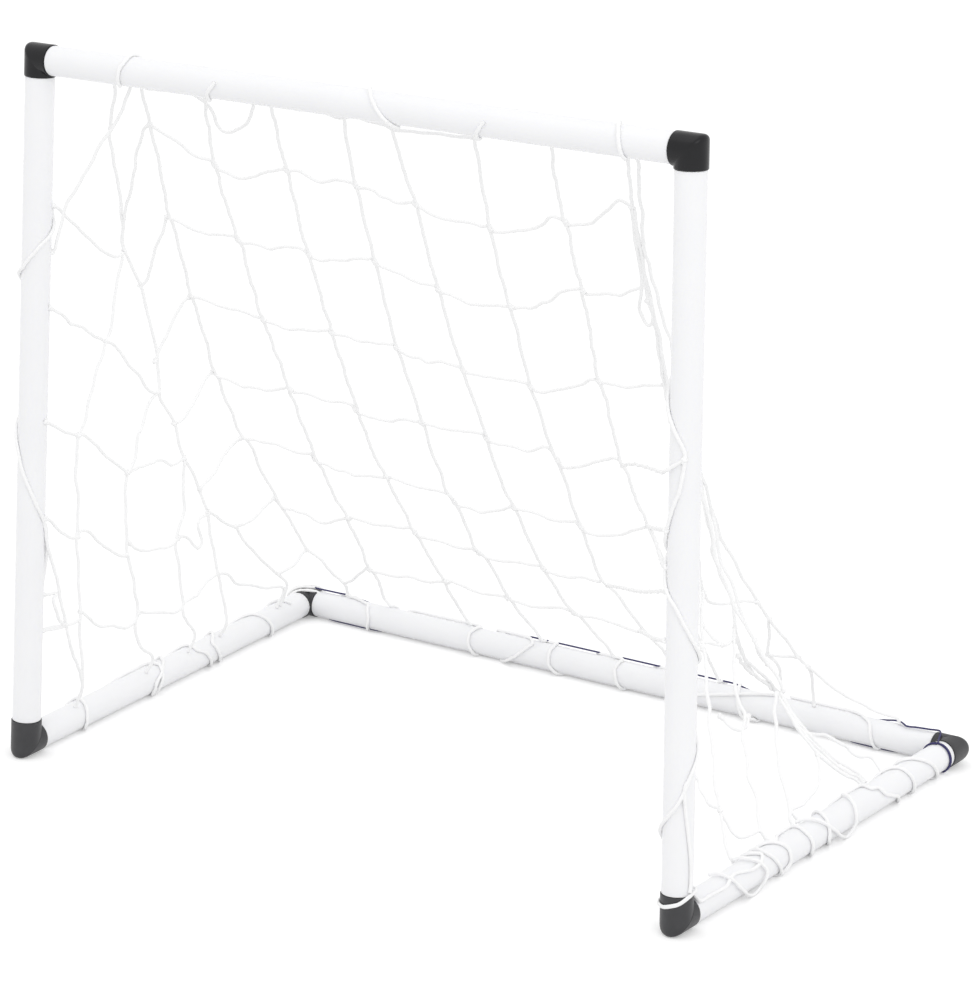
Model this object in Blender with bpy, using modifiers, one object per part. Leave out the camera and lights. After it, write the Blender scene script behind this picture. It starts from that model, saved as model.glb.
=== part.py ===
"""Mini soccer goal: a frame of six push-fit tubes and six corner elbows, with a knotted net laced to it.

Metres, +Z up. X runs along the crossbar, Y from the mouth to the rear tube, and the floor is Z = 0.
"""

import math

import bmesh
import bpy
from mathutils import Matrix, Vector

# Frame, between the tubes' axes. The posts lean in and back, and the side tubes open to the rear
POST_HEIGHT = 0.600
TOP_WIDTH = 0.618
DEPTH = 0.446
LEAN_IN = 0.019
LEAN_BACK = 0.018
SIDE_OPENING = 0.019

# Tubes
TUBE_OD = 0.025
TUBE_WALL = 0.0015
TUBE_SIDES = 32

# Elbows: how far the body stands proud of its tubes, and how far each arm reaches past the body's radius
ELBOW_PROUD = 0.0008
TOP_COLLAR = 0.0005
FOOT_COLLAR_UP = 0.0067
FOOT_COLLAR_LEVEL = 0.0007
ELBOW_ROUNDING = 0.0040
ELBOW_SIDES = 24
FOOT_FLAT_DEPTH = 0.0002
SPIGOT_LENGTH = 0.028
SPIGOT_WALL = 0.0022
SPIGOT_CLEARANCE = 0.0002
SPIGOT_CORE_FLOOR = 0.004
SHOULDER_GAP = 0.0003

# Net
TWINE = 0.0016
MESH_ACROSS = 0.075
NET_COLUMNS = 9
GATHERED_COLUMNS = 2
NET_ROWS = 8
ROW_CROWDING = 0.0987
GATHER_FROM_CORNER = 0.084
GATHER_PITCH = 0.009
GATHER_EDGE = 0.012
GATHER_OPENING = 16.0
GRIP_HEIGHT = 0.410
NET_CORNER_INSET = 0.019
NET_SLACK = 0.018
SLACK_COLUMN = 5.0
SLACK_SPREAD = 1.4
CORD_GAP = 0.0003
NET_EDGE_GAP = 0.0001

# Lacing round the tubes: insets run from a tube's corner to its first or last turn
LACING_GAP = 0.0002
LACING_POINTS = 16
LACING_END = 0.030
CROSSBAR_TURNS = 3
CROSSBAR_TURN_LENGTH = 0.018
CROSSBAR_INSET = 0.080
POST_TURNS = 3
POST_TURN_LENGTH = 0.060
POST_INSET = 0.080
SIDE_TURNS = 5
SIDE_TURN_LENGTH = 0.045
SIDE_FRONT_INSET = 0.060
SIDE_REAR_INSET = 0.075
REAR_TURNS = 8
REAR_TURN_LENGTH = 0.040
REAR_INSET = 0.070

# Where the lacing rests between its turns, round the tube from straight below
BEHIND_AND_ABOVE = math.radians(124)
TO_THE_RIGHT = math.radians(146)
TO_THE_LEFT = math.radians(214)

# Ties
FOOT_TIE_TURNS = 2
FOOT_TIE_PITCH = 0.0026
TIE_CORD = 0.0010
TIE_RING_TURNS = 2
TIE_RING_PITCH = 0.0018
TIE_RING_SETBACK = 0.0045
TIE_UPPER_ANGLE = math.radians(70)
TIE_LOWER_ANGLE = math.radians(-124)
TIE_END_INSET = 0.004
TIE_RUN_IN = 0.040
TIE_RUN_OUT = 0.020
NET_ON_REAR_ANGLE = math.radians(80)
NET_ON_CROSSBAR_ANGLE = math.radians(-35)
NET_ON_SIDE_ANGLE = math.radians(45)
NET_ON_POST_ANGLE = math.radians(45)

# Worked out from the sizes above
FOOT_WIDTH = TOP_WIDTH + 2 * LEAN_IN
REAR_WIDTH = FOOT_WIDTH + 2 * SIDE_OPENING
TUBE_R = TUBE_OD / 2
ELBOW_R = TUBE_R + ELBOW_PROUD
TOP_REACH = ELBOW_R + TOP_COLLAR
FOOT_REACH_UP = ELBOW_R + FOOT_COLLAR_UP
FOOT_REACH_LEVEL = ELBOW_R + FOOT_COLLAR_LEVEL
SPIGOT_R = TUBE_R - TUBE_WALL - SPIGOT_CLEARANCE
AXIS_Z = ELBOW_R - FOOT_FLAT_DEPTH
FRONT_Y = -DEPTH / 2
REAR_Y = DEPTH / 2
LACING_STEP = 2 * math.pi / LACING_POINTS
LACING_R = (TUBE_R + LACING_GAP + TWINE / 2) / math.cos(LACING_STEP / 2)
STRAND_R = TWINE / 2 * math.sqrt(2)
NET_EDGE_R = LACING_R + TWINE + NET_EDGE_GAP
TIE_ON_TUBE_R = (TUBE_R + LACING_GAP + TIE_CORD / 2) / math.cos(LACING_STEP / 2)
TIE_OVER_LACING_R = LACING_R + TWINE / 2 + CORD_GAP + TIE_CORD / 2

MERGE_DISTANCE = 0.00001
SHARP_ANGLE = math.radians(35)
RIDGE_SHARE = 0.6

WHITE_PLASTIC = ("white_plastic", (0.90, 0.91, 0.93), 0.28)
BLACK_PLASTIC = ("black_plastic", (0.025, 0.025, 0.028), 0.32)
WHITE_TWINE = ("white_twine", (0.88, 0.88, 0.87), 0.85)
NAVY_CORD = ("navy_cord", (0.030, 0.028, 0.110), 0.60)


def top_corner(side):
    return Vector((side * TOP_WIDTH / 2, FRONT_Y + LEAN_BACK, AXIS_Z + POST_HEIGHT))


def front_corner(side):
    return Vector((side * FOOT_WIDTH / 2, FRONT_Y, AXIS_Z))


def rear_corner(side):
    return Vector((side * REAR_WIDTH / 2, REAR_Y, AXIS_Z))


def clear_scene():
    for item in list(bpy.data.objects):
        bpy.data.objects.remove(item, do_unlink=True)


def new_collection(name):
    collection = bpy.data.collections.new(name)
    bpy.context.scene.collection.children.link(collection)
    return collection


def finish_of(node, look):
    """A material of the node's own, with the look's colour and roughness."""
    slot, colour, roughness = look
    material = bpy.data.materials.new(f"{node}_{slot}")
    material.use_nodes = True
    shader = material.node_tree.nodes["Principled BSDF"]
    shader.inputs["Base Color"].default_value = (*colour, 1.0)
    shader.inputs["Roughness"].default_value = roughness
    shader.inputs["Metallic"].default_value = 0.0
    return material


def add_object(name, data, look):
    item = bpy.data.objects.new(name, data)
    data.materials.append(finish_of(name, look))
    GOAL.objects.link(item)
    return item


def add_bmesh(name, bm, look):
    bmesh.ops.recalc_face_normals(bm, faces=bm.faces)
    mesh = bpy.data.meshes.new(name)
    bm.to_mesh(mesh)
    bm.free()
    mesh.shade_smooth()
    mesh.set_sharp_from_angle(angle=SHARP_ANGLE)
    return add_object(name, mesh, look)


def tube(name, start, end, reach_start, reach_end):
    """A straight hollow tube between two elbows' shoulders, turned from its wall's section."""
    run = end - start
    along = run.normalized()
    length = run.length - reach_start - reach_end - 2 * SHOULDER_GAP
    bore = TUBE_R - TUBE_WALL
    bm = bmesh.new()
    section = [(TUBE_R, length), (TUBE_R, 0), (bore, 0), (bore, length)]
    corners = [bm.verts.new((radius, 0, height)) for radius, height in section]
    for i, corner in enumerate(corners):
        bm.edges.new((corner, corners[(i + 1) % len(corners)]))
    mesh = bpy.data.meshes.new(name)
    bm.to_mesh(mesh)
    bm.free()
    item = add_object(name, mesh, WHITE_PLASTIC)
    item.location = start + along * (reach_start + SHOULDER_GAP)
    item.rotation_mode = "QUATERNION"
    item.rotation_quaternion = along.to_track_quat("Z", "Y")
    screw = item.modifiers.new("turned", "SCREW")
    screw.axis = "Z"
    screw.steps = TUBE_SIDES
    screw.render_steps = TUBE_SIDES
    screw.use_merge_vertices = True
    screw.merge_threshold = MERGE_DISTANCE
    screw.use_smooth_shade = True
    return item


def stepped_in(bm, face, inset):
    bmesh.ops.inset_individual(bm, faces=[face], thickness=inset, use_even_offset=True)
    return face


def pulled(bm, face, offset):
    moved = bmesh.ops.extrude_discrete_faces(bm, faces=[face])["faces"][0]
    bmesh.ops.translate(bm, vec=offset, verts=moved.verts)
    return moved


def elbow_arm(bm, along, across, radius, reach, mitre_side):
    """Half of an elbow: a cylinder cut by the mitre plane, then its shoulder, spigot and cored end."""
    side = (across - along * across.dot(along)).normalized()
    frame = Matrix((side, along.cross(side), along)).transposed().to_4x4()
    past = 2 * radius
    half_step = Matrix.Rotation(math.pi / ELBOW_SIDES, 4, "Z")
    centre = Matrix.Translation((0, 0, (reach - past) / 2))
    made = bmesh.ops.create_cone(
        bm, cap_ends=True, segments=ELBOW_SIDES, radius1=radius, radius2=radius,
        depth=reach + past, matrix=frame @ half_step @ centre,
    )
    verts = made["verts"]
    faces = list({face for vert in verts for face in vert.link_faces})
    edges = list({edge for vert in verts for edge in vert.link_edges})
    bmesh.ops.bisect_plane(
        bm, geom=verts + edges + faces, plane_co=(0, 0, 0), plane_no=(along - across) * mitre_side,
        clear_inner=mitre_side > 0, clear_outer=mitre_side < 0,
    )
    cap = max(bm.faces, key=lambda face: face.calc_center_median().dot(along))
    flat_scale = math.cos(math.pi / ELBOW_SIDES)
    cap = stepped_in(bm, cap, (radius - SPIGOT_R) * flat_scale)
    cap = pulled(bm, cap, along * SPIGOT_LENGTH)
    cap = stepped_in(bm, cap, SPIGOT_WALL)
    pulled(bm, cap, -along * (SPIGOT_LENGTH - SPIGOT_CORE_FLOOR))


def elbow(name, corner, toward_a, toward_b, radius, reach_a, reach_b, floor=None):
    """A two-way corner: two mitred arms with a rounded outer edge, and a spigot for each tube."""
    along_a = (toward_a - corner).normalized()
    along_b = (toward_b - corner).normalized()
    bm = bmesh.new()
    elbow_arm(bm, along_a, along_b, radius, reach_a, 1)
    elbow_arm(bm, along_b, along_a, radius, reach_b, -1)
    bmesh.ops.remove_doubles(bm, verts=bm.verts, dist=MERGE_DISTANCE)
    mitre = (along_a - along_b).normalized()
    outward = -(along_a + along_b).normalized()
    ridge = [
        edge for edge in bm.edges
        if all(abs(vert.co.dot(mitre)) < MERGE_DISTANCE for vert in edge.verts)
        and all(vert.co.dot(outward) > radius * RIDGE_SHARE for vert in edge.verts)
    ]
    bmesh.ops.bevel(
        bm, geom=ridge, offset=ELBOW_ROUNDING, segments=2, profile=0.5, affect="EDGES",
    )
    if floor is not None:
        cut = bmesh.ops.bisect_plane(
            bm, geom=bm.verts[:] + bm.edges[:] + bm.faces[:],
            plane_co=(0, 0, floor - corner.z), plane_no=(0, 0, -1), clear_outer=True,
        )
        rim = [part for part in cut["geom_cut"] if isinstance(part, bmesh.types.BMEdge)]
        bmesh.ops.edgeloop_fill(bm, edges=rim)
    item = add_bmesh(name, bm, BLACK_PLASTIC)
    item.location = corner
    return item


def cord(name, points, diameter, look):
    """A round cord along the points, with both ends closed, and pressed flat where it is on the floor."""
    curve = bpy.data.curves.new(name, "CURVE")
    curve.dimensions = "3D"
    curve.bevel_depth = diameter / 2
    curve.bevel_resolution = 1
    curve.use_fill_caps = True
    spline = curve.splines.new("POLY")
    spline.points.add(len(points) - 1)
    for target, point in zip(spline.points, points):
        target.co = (*point, 1.0)
    print(f"{name}: least gap to itself {least_self_gap(points, diameter) * 1000:.2f} mm")
    round_cord = bpy.data.objects.new(name, curve)
    bm = bmesh.new()
    bm.from_mesh(bpy.data.meshes.new_from_object(round_cord))
    bpy.data.objects.remove(round_cord)
    bmesh.ops.remove_doubles(bm, verts=bm.verts, dist=MERGE_DISTANCE)
    for vert in bm.verts:
        vert.co.z = max(vert.co.z, 0.0)
    return add_bmesh(name, bm, look)


def least_self_gap(points, diameter):
    """The smallest clear space between two stretches that lie well apart along the cord."""
    apart = 4 * diameter
    dense = []
    for first, second in zip(points, points[1:]):
        count = max(1, math.ceil((second - first).length / diameter))
        dense += [first.lerp(second, i / count) for i in range(count)]
    dense.append(points[-1])
    travelled = [0.0]
    for first, second in zip(dense, dense[1:]):
        travelled.append(travelled[-1] + (second - first).length)
    least = math.inf
    for i, point in enumerate(dense):
        for j in range(i + 1, len(dense)):
            if travelled[j] - travelled[i] > apart:
                least = min(least, (dense[j] - point).length)
    return least - diameter


def tube_frame(start, end, up):
    """Unit vectors along a tube, level across it, and across it towards up."""
    along = (end - start).normalized()
    rise = (up - along * up.dot(along)).normalized()
    level = rise.cross(along)
    return along, level, rise


def around(start, frame, distance, radius, angle):
    """The point at a distance along a tube, and at a radius and angle round it."""
    along, level, rise = frame
    return start + along * distance + (level * math.cos(angle) + rise * math.sin(angle)) * radius


def lacing(name, start, end, up, begin, finish, turns, turn_length, from_below, hand):
    """Twine that runs along a tube and goes once round it at even places, between two distances.

    It rests the nearest whole number and a half of steps round from straight below, so that no
    point, only the middle of a chord, lies under the tube.
    """
    frame = tube_frame(start, end, up)
    steps = round(from_below / LACING_STEP - 0.5)
    rest_angle = -math.pi / 2 + (steps + 0.5) * LACING_STEP
    pitch = (finish - begin - turn_length) / (turns - 1)
    points = [around(start, frame, begin - LACING_END, LACING_R, rest_angle)]
    for turn in range(turns):
        first = begin + turn * pitch
        for i in range(LACING_POINTS + 1):
            share = i / LACING_POINTS
            angle = rest_angle + hand * 2 * math.pi * share
            points.append(around(start, frame, first + turn_length * share, LACING_R, angle))
    points.append(around(start, frame, finish + LACING_END, LACING_R, rest_angle))
    return cord(name, points, TWINE, WHITE_TWINE)


def row_share(row):
    """How far down the slope a row lies: evenly at first, then crowded towards the rear tube."""
    t = row / NET_ROWS
    return (1 + ROW_CROWDING) * t - ROW_CROWDING * t**4


def net_top(x):
    """The net's edge behind the crossbar, at one x."""
    middle = (top_corner(-1) + top_corner(1)) / 2
    angle = NET_ON_CROSSBAR_ANGLE
    return middle + Vector((x, NET_EDGE_R * math.cos(angle), NET_EDGE_R * math.sin(angle)))


def net_bottom(x):
    """The net's edge over the rear tube, at one x."""
    middle = (rear_corner(-1) + rear_corner(1)) / 2
    angle = NET_ON_REAR_ANGLE
    return middle + Vector((x, NET_EDGE_R * math.cos(angle), NET_EDGE_R * math.sin(angle)))


def column_top(column):
    """Where a column leaves the crossbar: evenly, with the last few gathered at the right."""
    even = NET_COLUMNS - GATHERED_COLUMNS
    left = -(TOP_WIDTH / 2 - GATHER_FROM_CORNER)
    pitch = -2 * left / even
    return left + pitch * min(column, even) + GATHER_PITCH * max(0, column - even)


def column_bottom(column):
    left = -(REAR_WIDTH / 2 - NET_CORNER_INSET)
    return left - 2 * left * column / NET_COLUMNS


def column_x(column, share):
    """A column's x down the slope: columns fan out, and the gathered ones open only at the rear tube."""
    even = min(column, NET_COLUMNS - GATHERED_COLUMNS)
    top, bottom = column_top(even), column_bottom(even)
    x = top + (bottom - top) * math.sin(share * math.pi / 2)
    gathered = (column_top(column) - top) * (1 - share)
    opened = (column_bottom(column) - bottom) * share**GATHER_OPENING
    return x + gathered + opened


def back_knot(column, row):
    """A knot of the back, on its slope; the middle of each row hangs lower."""
    share = row_share(row)
    x = column_x(column, share)
    high, low = net_top(x), net_bottom(x)
    droop = NET_SLACK * math.exp(-(((column - SLACK_COLUMN) / SLACK_SPREAD) ** 2)) * (1 - share)
    if row in (0, NET_ROWS):
        droop = 0.0
    return high.lerp(low, share + droop / (low - high).length)


def fold_knot(side, row):
    """A knot of a side panel where it meets the back: beside the back's last column, a cord gap away.

    It lies in the slope, mitred between the two strands that meet there.
    """
    column = 0 if side < 0 else NET_COLUMNS
    here = back_knot(column, row)
    slope = (net_bottom(0.0) - net_top(0.0)).cross(Vector((side, 0, 0))).normalized()
    ways = []
    if row > 0:
        ways.append(here - back_knot(column, row - 1))
    if row < NET_ROWS:
        ways.append(back_knot(column, row + 1) - here)
    beside = [slope.cross(way).normalized() for way in ways]
    first, last = beside[0], beside[-1]
    return here + (first + last) * (2 * STRAND_R + CORD_GAP) / (1 + first.dot(last))


def front_knot(side, row):
    """The side panel's front edge: up the post as far as the grip, then across to the gather."""
    foot, top = front_corner(side), top_corner(side)
    level = fold_knot(side, row).z
    grip_z = AXIS_Z + GRIP_HEIGHT
    share = (min(level, grip_z) - foot.z) / (top.z - foot.z)
    offset = Vector((-side * math.cos(NET_ON_POST_ANGLE), math.sin(NET_ON_POST_ANGLE), 0))
    on_post = foot.lerp(top, share) + offset * NET_EDGE_R
    if row == NET_ROWS:
        on_post.z = AXIS_Z + NET_EDGE_R * math.sin(NET_ON_SIDE_ANGLE)
    if level <= grip_z:
        return on_post
    gather = fold_knot(side, 0) + Vector((side * GATHER_EDGE, 0, 0))
    return on_post.lerp(gather, (level - grip_z) / (gather.z - grip_z))


def side_row(side, row):
    """A side panel's knots from front edge to fold, a mesh apart, with what is left over at the fold."""
    front, fold = front_knot(side, row), fold_knot(side, row)
    width = (fold - front).length
    cells = max(1, round(width / MESH_ACROSS))
    pitch = min(MESH_ACROSS, width / cells)
    knots = [front.lerp(fold, k * pitch / width) for k in range(cells)]
    return [*knots, fold]


def net_panel(name, rows):
    """Twine strands between rows of knots: each cell of the grid is inset, opened and thickened.

    Where the next row is a knot shorter, the extra strand ends on the fold.
    """
    bm = bmesh.new()
    grid = [[bm.verts.new(knot) for knot in row] for row in rows]
    for upper, lower in zip(grid, grid[1:]):
        shared = len(upper) - 1
        for k in range(shared):
            bm.faces.new((upper[k], upper[k + 1], lower[k + 1], lower[k]))
        for k in range(shared, len(lower) - 1):
            bm.faces.new((upper[shared], lower[k + 1], lower[k]))
    cells = bm.faces[:]
    bmesh.ops.recalc_face_normals(bm, faces=cells)
    bmesh.ops.inset_individual(bm, faces=cells, thickness=TWINE / 2, use_even_offset=True)
    bmesh.ops.delete(bm, geom=cells, context="FACES")
    mesh = bpy.data.meshes.new(name)
    bm.to_mesh(mesh)
    bm.free()
    item = add_object(name, mesh, WHITE_TWINE)
    solidify = item.modifiers.new("twine", "SOLIDIFY")
    solidify.thickness = TWINE
    solidify.offset = 0
    solidify.use_rim = True
    return item


def make_tubes():
    left_top, right_top = top_corner(-1), top_corner(1)
    tube("crossbar", left_top, right_top, TOP_REACH, TOP_REACH)
    for word, side in (("left", -1), ("right", 1)):
        foot, rear = front_corner(side), rear_corner(side)
        tube(f"{word}_post", foot, top_corner(side), FOOT_REACH_UP, TOP_REACH)
        tube(f"{word}_side_tube", foot, rear, FOOT_REACH_LEVEL, FOOT_REACH_LEVEL)
    tube("rear_tube", rear_corner(-1), rear_corner(1), FOOT_REACH_LEVEL, FOOT_REACH_LEVEL)


def make_elbows():
    for word, side in (("left", -1), ("right", 1)):
        top, foot, rear = top_corner(side), front_corner(side), rear_corner(side)
        elbow(f"elbow_top_{word}", top, foot, top_corner(-side), ELBOW_R, TOP_REACH, TOP_REACH)
        elbow(
            f"elbow_front_{word}", foot, top, rear, ELBOW_R,
            FOOT_REACH_UP, FOOT_REACH_LEVEL, floor=0.0,
        )
        elbow(
            f"elbow_rear_{word}", rear, foot, rear_corner(-side), ELBOW_R,
            FOOT_REACH_LEVEL, FOOT_REACH_LEVEL, floor=0.0,
        )


def make_net():
    back = [[back_knot(column, row) for column in range(NET_COLUMNS + 1)] for row in range(NET_ROWS + 1)]
    net_panel("net_back", back)
    for word, side in (("left", -1), ("right", 1)):
        net_panel(f"net_{word}", [side_row(side, row) for row in range(NET_ROWS + 1)])


def make_lacing():
    up, back = Vector((0, 0, 1)), Vector((0, 1, 0))
    lacing(
        "lacing_crossbar", top_corner(-1), top_corner(1), up, CROSSBAR_INSET, TOP_WIDTH - CROSSBAR_INSET,
        CROSSBAR_TURNS, CROSSBAR_TURN_LENGTH, BEHIND_AND_ABOVE, -1,
    )
    for word, side in (("left", -1), ("right", 1)):
        foot, top, rear = front_corner(side), top_corner(side), rear_corner(side)
        place = TO_THE_LEFT if side < 0 else TO_THE_RIGHT
        lacing(
            f"lacing_{word}_post", foot, top, back, POST_INSET, GRIP_HEIGHT,
            POST_TURNS, POST_TURN_LENGTH, place, side,
        )
        lacing(
            f"lacing_{word}_side", foot, rear, up, SIDE_FRONT_INSET, DEPTH - SIDE_REAR_INSET,
            SIDE_TURNS, SIDE_TURN_LENGTH, place, side,
        )
    lacing(
        "lacing_rear", rear_corner(-1), rear_corner(1), up, REAR_INSET, REAR_WIDTH - REAR_INSET,
        REAR_TURNS, REAR_TURN_LENGTH, BEHIND_AND_ABOVE, -1,
    )


def make_foot_tie():
    """Two turns of twine round the right post, on the front elbow's shoulder."""
    foot, top = front_corner(1), top_corner(1)
    frame = tube_frame(foot, top, Vector((0, 1, 0)))
    start = FOOT_REACH_UP + CORD_GAP + TWINE / 2
    points = []
    for i in range(FOOT_TIE_TURNS * LACING_POINTS + 1):
        angle = i * LACING_STEP
        climb = FOOT_TIE_PITCH * i / LACING_POINTS
        points.append(around(foot, frame, start + climb, LACING_R, angle))
    cord("foot_tie", points, TWINE, WHITE_TWINE)


def make_tie_cord():
    """One thin cord: a ring round the right side tube's rear end, then along the rear tube and back."""
    up = Vector((0, 0, 1))
    rear, foot = rear_corner(1), front_corner(1)
    side_frame = tube_frame(rear, foot, up)
    ring_start = FOOT_REACH_LEVEL + TIE_RING_SETBACK
    points = []
    steps = TIE_RING_TURNS * LACING_POINTS
    for i in range(steps + 1):
        angle = math.pi / 2 - (steps - i) * LACING_STEP
        along = ring_start + TIE_RING_PITCH * (steps - i) / LACING_POINTS
        points.append(around(rear, side_frame, along, TIE_ON_TUBE_R, angle))
    left = rear_corner(-1)
    frame = tube_frame(left, rear, up)
    frame = (frame[0], -frame[1], frame[2])
    near = REAR_WIDTH - FOOT_REACH_LEVEL - TIE_RUN_IN
    far = FOOT_REACH_LEVEL + TIE_END_INSET
    points.append(around(left, frame, near, TIE_OVER_LACING_R, TIE_UPPER_ANGLE))
    points.append(around(left, frame, far + TIE_RUN_OUT, TIE_OVER_LACING_R, TIE_UPPER_ANGLE))
    swing = TIE_UPPER_ANGLE - TIE_LOWER_ANGLE
    count = math.ceil(swing / LACING_STEP)
    for i in range(count + 1):
        angle = TIE_UPPER_ANGLE - swing * i / count
        points.append(around(left, frame, far, TIE_ON_TUBE_R, angle))
    points.append(around(left, frame, far + TIE_RUN_OUT, TIE_OVER_LACING_R, TIE_LOWER_ANGLE))
    points.append(around(left, frame, near, TIE_OVER_LACING_R, TIE_LOWER_ANGLE))
    cord("tie_cord", points, TIE_CORD, NAVY_CORD)


clear_scene()
GOAL = new_collection("mini_soccer_goal")
make_tubes()
make_elbows()
make_net()
make_lacing()
make_foot_tie()
make_tie_cord()
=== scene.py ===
"""Dresses the mini soccer goal: tubes, elbows, knotted net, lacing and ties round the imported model.

Metres, +Z up, in the model's own frame. Tables are in millimetres and degrees, and say so.
"""

import math

import bmesh
import bpy
import numpy as np
from mathutils import Matrix, Vector


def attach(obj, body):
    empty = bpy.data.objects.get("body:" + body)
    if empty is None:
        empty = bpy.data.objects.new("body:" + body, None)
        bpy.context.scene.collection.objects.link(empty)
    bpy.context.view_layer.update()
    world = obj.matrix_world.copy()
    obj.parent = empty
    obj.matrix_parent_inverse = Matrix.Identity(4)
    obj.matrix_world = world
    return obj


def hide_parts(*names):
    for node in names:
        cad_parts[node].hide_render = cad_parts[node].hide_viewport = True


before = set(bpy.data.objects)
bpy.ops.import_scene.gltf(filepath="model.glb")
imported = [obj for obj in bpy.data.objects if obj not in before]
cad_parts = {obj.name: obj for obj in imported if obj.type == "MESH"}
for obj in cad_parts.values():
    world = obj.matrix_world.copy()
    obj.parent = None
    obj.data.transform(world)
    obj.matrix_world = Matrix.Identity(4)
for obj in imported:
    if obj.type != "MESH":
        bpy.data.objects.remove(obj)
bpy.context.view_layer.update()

# The goal's sizes, as the model has them
POST_HEIGHT, TOP_WIDTH, DEPTH = 0.600, 0.618, 0.446
LEAN_IN, LEAN_BACK, SIDE_OPENING = 0.019, 0.018, 0.019
TUBE_R, TUBE_WALL = 0.0125, 0.0015
ELBOW_R = 0.0133
TOP_REACH, FOOT_REACH_UP, FOOT_REACH_LEVEL = 0.0138, 0.0200, 0.0140
SHOULDER_GAP = 0.0003
SPIGOT_R, SPIGOT_LENGTH, SPIGOT_BEVEL = 0.0108, 0.028, 0.0008
AXIS_Z = 0.0131
ROUND_SIDES = 96

# Twine and cord: three strands each, the length of one full twist, how deep the grooves go, and how a strand
# swells, in waves of these lengths
STRANDS = 3
TWINE_R, TWINE_LAY, TWINE_SIDES, TWINE_GROOVE, TWINE_SWELL, TWINE_STEP = 0.0016, 0.0085, 8, 0.025, 0.03, 0.0011
SWELL_WAVES = (0.011, 0.0047, 0.0023)
CORD_R, CORD_LAY, CORD_SIDES, CORD_GROOVE, CORD_STEP = 0.0009, 0.004, 6, 0.10, 0.0007
FOOT_TWINE_R = 0.0012
LYING_GAP = 0.0001
WRAP_R = TUBE_R + TWINE_R + LYING_GAP
# The lowest that a strand's middle lies on the floor: more than its radius where it swells most
LYING_Z = 1.15 * TWINE_R
# How a hanging strand sways: each wave's length and share
SLACK_WAVES = ((0.052, 1.0), (0.031, 0.7), (0.013, 0.35))
KNOT_POINTS = 20
ACROSS, BACK, UP = np.eye(3)

# Where the back of the net leaves the crossbar and meets the rear tube, and the way down its slope
SLOPE_TOP = np.array([0.0, -0.1923, 0.6042])
SLOPE_FOOT = np.array([0.0, 0.2257, 0.0283])
DOWN = (SLOPE_FOOT - SLOPE_TOP) / np.linalg.norm(SLOPE_FOOT - SLOPE_TOP)
OUT = np.cross(DOWN, ACROSS)


def corner(kind, side):
    """A crossing of two tubes' axes: the top, front or rear corner of one side."""
    foot = TOP_WIDTH / 2 + LEAN_IN
    places = {
        "top": (TOP_WIDTH / 2, -DEPTH / 2 + LEAN_BACK, AXIS_Z + POST_HEIGHT),
        "front": (foot, -DEPTH / 2, AXIS_Z),
        "rear": (foot + SIDE_OPENING, DEPTH / 2, AXIS_Z),
    }
    x, y, z = places[kind]
    return np.array([side * x, y, z])


def unit(v):
    """Vectors of length 1 in the directions of v."""
    return v / np.linalg.norm(v, axis=-1, keepdims=True)


def mesh_object(name, verts, faces, uvs=None, smooth=True):
    """A mesh at the origin from an array of points and a list of faces, with a UV for each corner of each face."""
    mesh = bpy.data.meshes.new(name)
    mesh.from_pydata(verts.tolist(), [], faces)
    if uvs is not None:
        mesh.uv_layers.new(name="along").data.foreach_set("uv", uvs.ravel().astype(np.float32))
    if smooth:
        mesh.shade_smooth()
    mesh.update()
    item = bpy.data.objects.new(name, mesh)
    bpy.context.scene.collection.objects.link(item)
    return item


def distances(line):
    """How far along a line each of its points lies."""
    return np.r_[0, np.cumsum(np.linalg.norm(np.diff(line, axis=0), axis=1))]


def smooth_line(points, step):
    """A curve through the points, then cut into even steps.

    On each span, P(t) = h00 a + h10 ma + h01 b + h11 mb (the cubic Hermite forms), where a point's
    tangent is the chord between its neighbours over their distance apart.
    """
    p = np.asarray(points, float)
    keep = np.r_[True, np.linalg.norm(np.diff(p, axis=0), axis=1) > 1e-5]
    p = p[keep]
    if len(p) == 2:
        p = np.array([p[0], (p[0] + p[1]) / 2, p[1]])
    gaps, ends = np.linalg.norm(np.diff(p, axis=0), axis=1), distances(p)
    tangents = np.empty_like(p)
    tangents[1:-1] = (p[2:] - p[:-2]) / (gaps[1:] + gaps[:-1])[:, None]
    tangents[0], tangents[-1] = (p[1] - p[0]) / gaps[0], (p[-1] - p[-2]) / gaps[-1]
    fine = np.linspace(0, ends[-1], max(8, int(ends[-1] / step * 4)))
    k = np.clip(np.searchsorted(ends, fine, side="right") - 1, 0, len(gaps) - 1)
    t = ((fine - ends[k]) / gaps[k])[:, None]
    g = gaps[k][:, None]
    line = (
        (2 * t**3 - 3 * t**2 + 1) * p[k] + (t**3 - 2 * t**2 + t) * g * tangents[k]
        + (3 * t**2 - 2 * t**3) * p[k + 1] + (t**3 - t**2) * g * tangents[k + 1]
    )
    run = distances(line)
    even = np.linspace(0, run[-1], max(4, int(round(run[-1] / step)) + 1))
    return np.stack([np.interp(even, run, line[:, axis]) for axis in range(3)], axis=1)


def frames(line):
    """Two unit vectors across a line, n and b, and the turn at each point that keeps them from winding about it.

    n is the direction that the line spreads in least, made square to the line. Its own turn about the
    line between two points is added up and taken back out.
    """
    along = unit(np.gradient(line, axis=0))
    spread = np.linalg.svd(along, full_matrices=False)[2][-1]
    n = unit(spread - along * (along @ spread)[:, None])
    b = np.cross(along, n)
    both = along[:-1] + along[1:]
    tilt = np.sum(n[:-1] * along[1:], axis=1) / (1 + np.sum(along[:-1] * along[1:], axis=1))
    carried = n[:-1] - both * tilt[:, None]
    side = np.cross(along[1:], carried)
    turn = np.arctan2(np.sum(n[1:] * side, axis=1), np.sum(n[1:] * carried, axis=1))
    return n, b, np.r_[0, -np.cumsum(turn)]


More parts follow.
